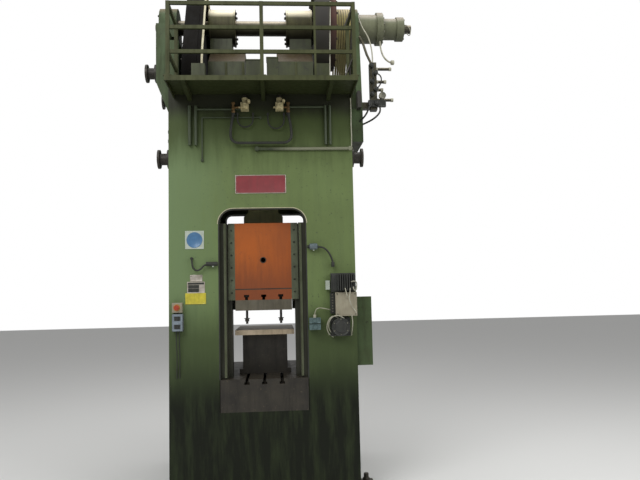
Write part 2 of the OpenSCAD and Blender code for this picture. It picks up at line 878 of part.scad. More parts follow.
module drive_shaft() {
  x0 = brake_x0 + 2 * brake_wall;
  color("lightgray") {
    bar_x(x0, clutch_last - shaft_end_gap, 0, shaft_z, shaft_r);
    bar_x(brake_x0 - nub_l, x0, 0, shaft_z, nub_r);
    bar_x(brake_disc_x, brake_disc_x + brake_disc_w, 0, shaft_z, brake_disc_r);
  }
}

module drive_pinion() {
  color("gray") along_x(-disc_x - gear_w / 2, -disc_x + gear_w / 2) translate([0, shaft_z]) difference() {
    polygon(gear_points(pinion_teeth, -90 + 180 / pinion_teeth, tooth_play));
    circle(r = shaft_r + seat_gap);
  }
}

module bull_gear() {
  web_cut = gear_w / 4;
  rim = 60;
  hub_r = 150;
  x0 = -disc_x - gear_w / 2;
  color("gray") difference() {
    along_x(x0, x0 + gear_w) translate([0, crank_z]) difference() {
      polygon(gear_points(bull_teeth, 90, tooth_play));
      circle(r = journal_r + seat_gap);
      for (k = [0:5]) rotate(30 + k * 60) translate([(hub_r + bull_r - rim) / 2, 0]) circle(r = 85);
    }
    for (x = [x0 - cut, x0 + gear_w - web_cut]) difference() {
      bar_x(x, x + web_cut + cut, 0, crank_z, bull_r - rim);
      bar_x(x - cut, x + web_cut + 2 * cut, 0, crank_z, hub_r);
    }
  }
}

// Crankshaft: journals, the eccentric and the seat of the bull gear
module crankshaft() {
  web_t = 8;
  color("lightgray") {
    bar_x(-disc_x - gear_w / 2, pedestal_x + pedestal_w / 2, 0, crank_z, journal_r);
    bar_x(-rod_w / 2 - web_t, rod_w / 2 + web_t, 0, eccentric_z, eccentric_d / 2);
  }
}

// Connecting rod: the big end round the eccentric, a tapered shank and the small end
rod_play = 2;
shank_top_w = 220;
shank_foot_w = 150;

module connecting_rod() {
  w = rod_w / 2 - rod_play;
  color("dimgray") difference() {
    union() {
      bar_x(-w, w, 0, eccentric_z, big_end_d / 2);
      bar_x(-w, w, 0, wrist_z, small_end_d / 2);
      along_x(-w, w) polygon([[-shank_top_w / 2, eccentric_z], [shank_top_w / 2, eccentric_z],
        [shank_foot_w / 2, wrist_z], [-shank_foot_w / 2, wrist_z]]);
    }
    bar_x(-w - cut, w + cut, 0, eccentric_z, eccentric_d / 2 + run_gap);
    bar_x(-w - cut, w + cut, 0, wrist_z, wrist_pin_d / 2 + seat_gap);
  }
}

module wrist_pin() {
  color("lightgray") bar_x(-rod_w / 2, rod_w / 2, 0, wrist_z, wrist_pin_d / 2);
}

// Slide

// Middle wall across the slide, and the round hole in its front
slide_rib_t = 100;
slide_hole_r = 19;
slide_hole_z = slide_z + 326;

module slide_body() {
  z0 = slide_z + slide_plate_t;
  x1 = slide_w / 2 - slide_wall;
  y1 = slide_d / 2 - slide_wall;
  color("orangered") difference() {
    block(-slide_w / 2, slide_w / 2, slide_front, -slide_front, z0, slide_top);
    both_ends() block(-x1, x1, slide_rib_t / 2, y1, z0 - cut, slide_top - slide_wall);
    bar_y(0, slide_front - cut, slide_front + slide_wall + cut, slide_hole_z, slide_hole_r);
  }
}

module slide_plate() {
  color("orangered") difference() {
    block(-slide_w / 2, slide_w / 2, slide_front, -slide_front, slide_z, slide_z + slide_plate_t);
    both_ends() along_y(slide_front - cut, slide_front + slide_slot_l)
      for (k = [-1:1]) translate([k * slot_pitch, 0]) t_slot(slide_z, -1);
  }
}

// Neck: a box on the slide, open at the top, in which the rod's small end swings clear
neck_side_gap = 6;
neck_foot_h = 95;
neck_step = 40;
swing_gap = 12;

module slide_neck() {
  pocket_w = rod_w / 2 + neck_side_gap;
  pocket_d = small_end_d / 2 + throw + swing_gap;
  pocket_z = wrist_z - small_end_d / 2 - stroke - swing_gap;
  x1 = neck_w / 2;
  x2 = x1 - neck_step;
  top = slide_top + neck_h;
  z1 = slide_top + neck_foot_h;
  z2 = z1 + neck_step;
  color("darkolivegreen") difference() {
    along_y(-neck_d / 2, neck_d / 2)
      polygon([[-x1, slide_top], [x1, slide_top], [x1, z1], [x2, z2],
        [x2, top], [-x2, top], [-x2, z2], [-x1, z1]]);
    block(-pocket_w, pocket_w, -pocket_d, pocket_d, pocket_z, top + cut);
  }
}

module slide_flanges() {
  hole_r = 9;
  color("seagreen") both_ends() both_sides() difference() {
    block(slide_w / 2, flange_edge, slide_front, slide_front + flange_t, slide_z, slide_top);
    for (k = [0:5]) bar_y(slide_w / 2 + flange_w / 2, slide_front - cut, slide_front + 12,
      slide_z + 60 + k * (slide_h - 120) / 5, hole_r);
  }
}

module slide_liners() {
  color("darkgoldenrod") both_ends() both_sides()
    block(slide_w / 2, slide_w / 2 + liner_t, slide_front + flange_t, rail_front + rail_d,
      slide_z, slide_top);
}

// Distance of the T-bolts behind the slide's front, and their play in the upper die plate
t_bolt_in = 60;
t_bolt_play = 1;

module upper_die_plate() {
  z0 = slide_z - upper_plate_t;
  color("gray") difference() {
    block(-slide_w / 2, slide_w / 2, slide_front, slide_front + upper_plate_d, z0, slide_z);
    both_sides()
      bar_z(slot_pitch, slide_front + t_bolt_in, z0 - cut, slide_z + cut, t_bolt_d / 2 + t_bolt_play);
  }
}

module t_bolts() {
  head_t = slot_head_h - 2;
  play = 1.5;
  nut_t = 22;
  bottom = slide_z - upper_plate_t - t_bolt_drop;
  color("darkslategray") both_sides() translate([slot_pitch, slide_front + t_bolt_in, 0]) {
    translate([-slot_head / 2 + play, -20, slide_z + slot_mouth_h]) cube([slot_head - 2 * play, 40, head_t]);
    translate([0, 0, bottom]) cylinder(r = t_bolt_d / 2, h = slide_z + slot_mouth_h - bottom);
    translate([0, 0, bottom + 20]) cylinder(r = 17, h = nut_t, $fn = 6);
    translate([0, 0, bottom + 20 + nut_t]) cylinder(r = 24, h = 5);
  }
}

// Platform

deck_sheet = 6;
deck_bar_t = 8;

module platform_deck() {
  x1 = deck_left + deck_w;
  y0 = front_y - deck_d;
  z0 = deck_top - deck_t;
  z1 = deck_top - deck_sheet;
  color("seagreen") {
    block(deck_left, x1, y0, front_y, z1, deck_top);
    block(deck_left, x1, y0, y0 + deck_bar_t, z0, z1);
    for (x = [deck_left, x1 - deck_bar_t]) block(x, x + deck_bar_t, y0 + deck_bar_t, front_y, z0, z1);
  }
}

// Brackets under the platform, as distances from its middle
bracket_at = [-600, 0, 535];
bracket_web = 30;
bracket_root_h = 58;
bracket_tip_h = 28;

module platform_brackets() {
  z1 = deck_top - deck_sheet;
  tip = front_y - deck_d + deck_bar_t;
  color("seagreen") for (x = bracket_at)
    along_x(deck_x + x - bracket_web / 2, deck_x + x + bracket_web / 2)
      polygon([[front_y, z1], [tip, z1], [tip, z1 - bracket_tip_h], [front_y, z1 - bracket_root_h]]);
}

// Posts of the railing, as distances from the platform's edges and from its middle
post_in = 24;
thin_post_at = 399;
thin_post = 16;
post_y_in = 6;
rail_thin = 4;

module railing() {
  y0 = front_y - deck_d + post_y_in;
  low = deck_top + rail_pitch;
  top = low + 2 * rail_pitch;
  half = rail_bar / 2;
  bar = half - rail_thin;
  ends = [deck_left + post_in, deck_left + deck_w - post_in];
  color("seagreen") {
    for (x = [ends[0], deck_x, ends[1]]) block(x - half, x + half, y0, y0 + rail_bar, deck_top, top + half);
    translate([deck_x + thin_post_at, y0 + half - thin_post / 2, deck_top])
      cube([thin_post, thin_post, top - deck_top]);
    for (k = [0:2])
      block(ends[0], ends[1], y0 + rail_thin, y0 + rail_bar - rail_thin, low + k * rail_pitch - half,
        low + k * rail_pitch + half);
    for (x = ends) {
      block(x - half, x + half, front_y - rail_bar, front_y, deck_top, top + half);
      for (z = [low, top]) block(x - bar, x + bar, y0 + rail_bar, front_y - rail_bar, z - half, z + half);
    }
  }
}

// Fittings on the front plate

// Left and right air valves, under the platform
valve_x = [-127, 155];
valve_w = 64;
valve_top = frame_h - 140;
valve_h = 55;

module air_valves() {
  color("tan") for (x = valve_x) {
    block(x - valve_w / 2, x + valve_w / 2, front_y - 80, front_y, valve_top - valve_h, valve_top);
    bar_z(x, front_y - 40, valve_top, valve_top + 45, 24);
    bar_y(x, front_y - 104, front_y - 80, valve_top - valve_h / 2, 18);
  }
}

// Upright pipes in pairs: the places of their axes
left_pipes_x = [-577, -527];
right_pipes_x = [531, 569];
pipes_top = frame_h - 150;
left_pipes_l = 328;
right_pipes_l = 328;
left_pipe_r = 13;
right_pipe_r = 11;
pipe_out = 20;

// An upright pipe of the length l with both ends turned into the plate
module upright(x, l, r) {
  y = front_y - pipe_out;
  bar_z(x, y, pipes_top - l, pipes_top, r);
  for (z = [pipes_top - l + r, pipes_top - r]) bar_y(x, y, front_y, z, r);
}

// Thin pipe of the lubrication and the conduit to the frame's right edge
thin_pipe_r = 6;
thin_pipe_x = -477;
thin_pipe_top = frame_h - 247;
thin_pipe_foot = frame_h - 605;
conduit_r = 13;
conduit_x = -34;
conduit_z = frame_h - 510;

module front_pipes() {
  y = front_y - 14;
  feed_r = 9;
  edge = half_w - conduit_r - 5;
  color("darkolivegreen") {
    for (x = left_pipes_x) upright(x, left_pipes_l, left_pipe_r);
    for (x = right_pipes_x) upright(x, right_pipes_l, right_pipe_r);
    bar_x(left_pipes_x[1], valve_x[0] - valve_w / 2, y, valve_top - 38, feed_r);
    bar_x(valve_x[1] + valve_w / 2, right_pipes_x[0], y, valve_top - 20, feed_r);
    bar_x(thin_pipe_x, -4, y, thin_pipe_top, thin_pipe_r);
    bar_z(thin_pipe_x, y, thin_pipe_foot, thin_pipe_top, thin_pipe_r);
    bar_y(thin_pipe_x, y, front_y, thin_pipe_foot + thin_pipe_r, 2 * thin_pipe_r);
    bar_y(-4, y, front_y, thin_pipe_top, 2 * thin_pipe_r);
    bar_x(conduit_x, edge, front_y - conduit_r, conduit_z, conduit_r);
    for (x = [conduit_x, edge]) bar_y(x, front_y - 2 * conduit_r - 4, front_y, conduit_z, conduit_r + 5);
  }
}

// Black hoses under the air valves: a wide loop and two small ones
hose_r = 11;
small_hose_r = 6;
hose_end_z = frame_h - 220;

module front_hoses() {
  y = front_y - 40;
  y_small = front_y - 30;
  bend = 60;
  wide = [-245, 250];
  lean = 24;
  low = frame_h - 465 + bend;
  small = [[-125, 63, 80], [125, 66, 92]];
  color("darkslategray") {
    hose(y, concat([[wide[0] + lean, hose_end_z], [wide[0] + lean / 4, low + 90]],
      [for (a = [0:30:90]) [wide[0] + bend - bend * cos(a), low - bend * sin(a)]],
      [for (a = [90:30:180]) [wide[1] - bend - bend * cos(a), low - bend * sin(a)]],
      [[wide[1] - lean / 4, low + 90], [wide[1] - lean, hose_end_z]]), hose_r);
    for (x = [wide[0] + lean, wide[1] - lean]) bar_y(x, y, front_y, hose_end_z, hose_r + 6);
    for (h = small) {
      hose(y_small, concat([[h[0] - h[1], hose_end_z]], hanging(h[0], hose_end_z - h[2] + h[1] / 2, h[1]),
        [[h[0] + h[1], hose_end_z]]), small_hose_r);
      for (x = [h[0] - h[1], h[0] + h[1]]) bar_y(x, y_small, front_y, hose_end_z, small_hose_r + 3);
    }
  }
}

// Lubrication hoses beside the window: the left one hangs in a bight, the right one has the oil bowl
side_hose_r = 7;
side_hose_z = 1857;
bowl_z = 1982;

module slide_hoses() {
  y = front_y - 28;
  edge = window_w / 2;
  color("darkslategray") {
    hose(y, [[-566, side_hose_z + 46], [-560, side_hose_z - 14], [-548, side_hose_z - 40],
      [-528, side_hose_z - 51], [-505, side_hose_z - 49], [-484, side_hose_z - 29], [-455, side_hose_z - 6],
      [-428, side_hose_z]], side_hose_r);
    bar_x(-452, -edge - 4, y, side_hose_z, 17);
    bar_y(-566, y, front_y, side_hose_z + 46, 12);
    bar_y(-edge - 30, y, front_y, side_hose_z, 14);
    hose(y, [[438, bowl_z - 4], [480, bowl_z - 6], [513, bowl_z - 26], [538, bowl_z - 56],
      [556, bowl_z - 94], [564, bowl_z - 130]], side_hose_r);
    bar_z(564, y, bowl_z - 168, bowl_z - 128, 15);
    bar_y(564, y, front_y, bowl_z - 148, 12);
    bar_x(edge + 4, 442, y, bowl_z, 13);
    bar_y(edge + 24, y, front_y, bowl_z, 16);
    translate([410, y, bowl_z]) rotate([0, 90, 0]) translate([0, 0, -30]) cylinder(r = 26, h = 60);
  }
}

// Push button stations at the left
button_r = 12;
button_gap = 0.3;
button_deep = 20;
button_hole = 30;
station_d = 60;
stop_w = 78;
stop_x = -678;
stop_z = 1515;
stop_head_r = 20;
station_w = 84;
station_h = 136;
station_x = -675;
station_z = [1430, 1366];

// A station's box round the height z, with a hole for each button
module station(x, w, z, h, holes) {
  difference() {
    block(x - w / 2, x + w / 2, front_y - station_d, front_y, z - h / 2, z + h / 2);
    for (k = holes)
      bar_y(x, front_y - station_d - cut, front_y - station_d + button_hole, k, button_r + button_gap);
  }
}

module stop_box() {
  color("beige") station(stop_x, stop_w, stop_z, stop_w, [stop_z]);
}

module button_box() {
  color("gray") station(station_x, station_w, (station_z[0] + station_z[1]) / 2, station_h, station_z);
}

module stop_button() {
  face = front_y - station_d;
  head_t = 16;
  color("red") {
    bar_y(stop_x, face - 10 - head_t, face - 10, stop_z, stop_head_r);
    bar_y(stop_x, face - 10, face + button_deep, stop_z, button_r);
  }
}

// One flush button of the two-button station
module push_button(z) {
  color("black") bar_y(station_x, front_y - station_d - 8, front_y - station_d + button_deep, z, button_r);
}

module upper_button() push_button(station_z[0]);
module lower_button() push_button(station_z[1]);

// Control boxes right of the window: [left, right, out, low, high]
control = [
  [574, 745, 90, 1420, 1608], [542, 740, 120, 1612, 1762], [501, 534, 40, 1632, 1705],
  [363, 453, 70, 1315, 1412], [535, 570, 50, 1440, 1606], [530, 690, 60, 1262, 1408]
];
dial_r = 72;
dial_out = 115;

module control_boxes() {
  color("beige") {
    for (b = control) block(b[0], b[1], front_y - b[2], front_y, b[3], b[4]);
    bar_y(610, front_y - dial_out, front_y, 1335, dial_r);
    bar_z(408, front_y - 30, 1412, 1432, 12);
  }
}

// Boxes near the crown's front edge: [left, width, distance from the front, depth, height]
crown_box = [
  [-120, 140, 80, 120, 270], [55, 95, 80, 120, 290],
  [-565, 110, 10, 80, 220], [468, 112, 10, 80, 220]
];

module crown_boxes() {
  color("olivedrab") for (b = crown_box)
    translate([b[0], front_y + b[2], frame_h]) cube([b[1], b[3], b[4]]);
}

// Valve manifold on the right outrigger with its outlets, and the pipe to the clutch
manifold_z = frame_h - 51;
manifold_h = 439;
manifold_w = 60;
manifold_d = 80;
manifold_x = clutch_x + 80;
outlets = [50, 170, 245, 340];
outlet_l = [140, 90, 60, 150];
outlet_r = 14;

module air_manifold() {
  y = -right_out_d / 2 + 60;
  top = manifold_z + manifold_h;
  bottom_r = 11;
  color("gray") {
    block(clutch_x, manifold_x, y - 30, y + 30, manifold_z + 11, manifold_z + 71);
    block(manifold_x, manifold_x + manifold_w, y - manifold_d / 2, y + manifold_d / 2, manifold_z, top);
    for (k = [0:len(outlets) - 1])
      bar_x(manifold_x + manifold_w, manifold_x + manifold_w + outlet_l[k], y, top - outlets[k], outlet_r);
    hose(y, [[manifold_x + 20, top], [manifold_x - 20, top + 90], [manifold_x - 50, top + 190],
      [manifold_x - 80, top + 250]], bottom_r);
  }
}

module regulator_box() {
  y = -right_out_d / 2;
  x1 = clutch_x - 20;
  width = 36;
  color("dimgray") block(x1 - width, x1, y - 90, y, manifold_z - 10, manifold_z + 140);
}

front_plate();
rear_plate();
outer_plates();
inner_plates();
side_guard();
crown_plate();
anchor_feet();
bed_box();
bed_block();
bolster();
riser_block();
die_plate();
guide_rails();
lifting_spools();
bearing_pedestals();
shaft_housings();
bearing_bushes();
gear_guard();
left_outrigger();
brake_housing();
right_outrigger();
clutch_housing();
air_union();
motor_case();
motor_base();
v_belts();
platform_deck();
platform_brackets();
railing();
air_valves();
front_pipes();
front_hoses();
slide_hoses();
stop_box();
button_box();
control_boxes();
crown_boxes();
air_manifold();
regulator_box();
slide_body();
slide_plate();
slide_neck();
slide_flanges();
slide_liners();
upper_die_plate();
t_bolts();
connecting_rod();
wrist_pin();
crankshaft();
bull_gear();
drive_shaft();
drive_pinion();
clutch_plate();
flywheel();
clutch_cover();
belt_sheave();
motor_rotor();
stop_button();
upper_button();
lower_button();
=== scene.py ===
"""Looks of a mechanical stamping press: paint and steel, screws, plates, cables, stage, light and camera."""
import math

import bmesh
import bpy
from mathutils import Matrix, Vector


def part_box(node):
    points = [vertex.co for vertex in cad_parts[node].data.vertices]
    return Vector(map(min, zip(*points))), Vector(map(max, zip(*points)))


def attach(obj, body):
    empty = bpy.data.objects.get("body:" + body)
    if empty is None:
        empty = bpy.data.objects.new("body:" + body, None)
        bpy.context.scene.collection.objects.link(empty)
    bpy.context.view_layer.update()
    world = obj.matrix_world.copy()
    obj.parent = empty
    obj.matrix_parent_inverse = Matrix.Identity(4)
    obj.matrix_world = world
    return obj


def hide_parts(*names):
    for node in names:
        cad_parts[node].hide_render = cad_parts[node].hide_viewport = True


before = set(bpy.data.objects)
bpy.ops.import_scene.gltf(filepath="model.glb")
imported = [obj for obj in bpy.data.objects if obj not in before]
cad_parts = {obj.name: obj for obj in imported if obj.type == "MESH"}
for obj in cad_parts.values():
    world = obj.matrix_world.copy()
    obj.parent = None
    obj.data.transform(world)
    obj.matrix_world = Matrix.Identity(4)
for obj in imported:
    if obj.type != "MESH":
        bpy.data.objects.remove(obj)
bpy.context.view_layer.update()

bl_info = {
    "name": "Stamping press dresser",
    "version": (1, 0, 0),
    "blender": (4, 5, 0),
    "location": "3D View > Sidebar > Press",
    "description": "Paints the packed press and adds its screws, plates, cables, light and camera",
    "category": "Object",
}

MM = 0.001
LEFT, RIGHT, FRONT, REAR, UP, DOWN = (
    Vector(v) for v in ((-1, 0, 0), (1, 0, 0), (0, -1, 0), (0, 1, 0), (0, 0, 1), (0, 0, -1)))
SMOOTH_BELOW = math.radians(35)  # edges flatter than this are shaded smooth


def corners(node):
    """The CAD node's corners in mm."""
    low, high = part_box(node)
    return low / MM, high / MM


# Places on the press in mm
FRONT_Y = corners("front_plate")[0].y
SHAFT_Z, CRANK_Z = 4107, 3465
MOTOR_Y, MOTOR_Z = 500, 3550
WINDOW_SILL = 935
SIGHT_Z = 1888
STOP_BUTTON, PAIR_BUTTONS = (-678, 1515), ((-675, 1430), (-675, 1366))  # x and z of their middles
HALF_STEP = 0.39  # turns a ring of 8 screws by half a step


# ---- Colours and materials

def linear(code):
    """An sRGB hex colour as a linear colour with alpha."""
    parts = [int(code[k:k + 2], 16) / 255 for k in (1, 3, 5)]
    return tuple(c / 12.92 if c <= 0.04045 else ((c + 0.055) / 1.055) ** 2.4 for c in parts) + (1.0,)


def bare_tree(owner):
    """The emptied node tree of a material or a world."""
    owner.use_nodes = True
    owner.node_tree.nodes.clear()
    return owner.node_tree


def add(tree, kind, inputs=None, **settings):
    """The outputs of a new node with its settings, its values and its links."""
    made = tree.nodes.new(kind)
    for key, value in settings.items():
        setattr(made, key, value)
    for key, value in (inputs or {}).items():
        if isinstance(value, bpy.types.NodeSocket):
            tree.links.new(value, made.inputs[key])
        else:
            made.inputs[key].default_value = value
    return made.outputs


def weathered(name, tones, patch, run, runs=0.5, flow=0.12, rough=(0.3, 0.5), metallic=0.0, grain=2,
              relief=0.2, dust_and_highlight=None, under=None, specks=None, zones=(), coat=0.0, top_range=(0.45, 0.92),
              shine=0.5):
    """Two tones in patches of patch mm, dirt in vertical runs of run mm, specks, dust and painted light on
    top, oil and painted shade below.

    tones are the base, the worn and the dirt's colour. specks are (size in mm, colour), dust_and_highlight and
    under are (colour, amount): the first is dust on faces that look up, on the drums also a painted highlight,
    and the second oil with painted shade on faces that look down. zones are (axis, from m, to m, colour,
    amount): along that axis the colour comes in from the first place to the second, and less in the runs where
    a sixth value says how much less.
    grain is the size of the surface's relief in mm and relief its height in mm. The first layer lies from the
    first to the second value of top_range, which are how far up a face looks. shine is the shader's specular
    level, low where oil and dust have dulled the paint.
    """
    material = bpy.data.materials.new(name)
    tree = bare_tree(material)

    def noise(vector, size, detail, roughness=0.5):
        return add(tree, "ShaderNodeTexNoise", {"Vector": vector, "Scale": 1000 / size, "Detail": detail,
                                                "Roughness": roughness})["Fac"]

    def ramp(value, start, end, low=0.0, high=1.0, **settings):
        return add(tree, "ShaderNodeMapRange", {"Value": value, "From Min": start, "From Max": end,
                                                "To Min": low, "To Max": high}, **settings)["Result"]

    def mix(share, colour, tint):
        return add(tree, "ShaderNodeMix", {0: share, 6: colour, 7: linear(tint)}, data_type="RGBA")[2]

    base, worn, dirt = tones
    place = add(tree, "ShaderNodeTexCoord")
    stretched = add(tree, "ShaderNodeMapping", {"Vector": place["Object"], "Scale": (1.0, 1.0, flow)})
    streaks = noise(stretched["Vector"], run, 5.0, 0.65)
    colour = mix(ramp(noise(place["Object"], patch, 6.0, 0.6), 0.36, 0.64), linear(base), worn)
    colour = mix(ramp(streaks, 0.46, 0.78, 0.0, runs), colour, dirt)
    if specks:
        size, tint = specks
        colour = mix(ramp(noise(place["Object"], size, 3.0, 0.7), 0.63, 0.7), colour, tint)
    axes = add(tree, "ShaderNodeSeparateXYZ", {"Vector": place["Object"]})
    for axis, start, end, tint, amount, *less in zones:
        swing = ramp(streaks, 0.3, 0.7, -0.14, 0.14)
        reach = ramp(axes[axis], start, end, clamp=False)
        ragged = add(tree, "ShaderNodeMath", {0: reach, 1: swing}, operation="ADD")["Value"]
        if less:
            amount = ramp(streaks, 0.45, 0.68, amount, amount - less[0])
        colour = mix(ramp(ragged, 0.0, 1.0, 0.0, amount, interpolation_type="SMOOTHSTEP"), colour, tint)
    up = add(tree, "ShaderNodeSeparateXYZ", {"Vector": place["Normal"]})["Z"]
    # Faces that look up take dust, pale as a painted highlight on the drums; faces that look down take oil and
    # painted shade
    for layer, start, end in ((dust_and_highlight, *top_range), (under, -0.1, -0.8)):
        if layer:
            tint, amount = layer
            colour = mix(ramp(up, start, end, 0.0, amount), colour, tint)
    bump = add(tree, "ShaderNodeBump", {"Height": noise(place["Object"], grain, 3.0), "Strength": 0.5,
                                        "Distance": relief * MM})
    shader = add(tree, "ShaderNodeBsdfPrincipled", {
        "Base Color": colour, "Roughness": ramp(streaks, 0.3, 0.7, *rough), "Metallic": metallic,
        "Coat Weight": coat, "Specular IOR Level": shine, "Normal": bump["Normal"]})
    add(tree, "ShaderNodeOutputMaterial", {"Surface": shader["BSDF"]})
    return material


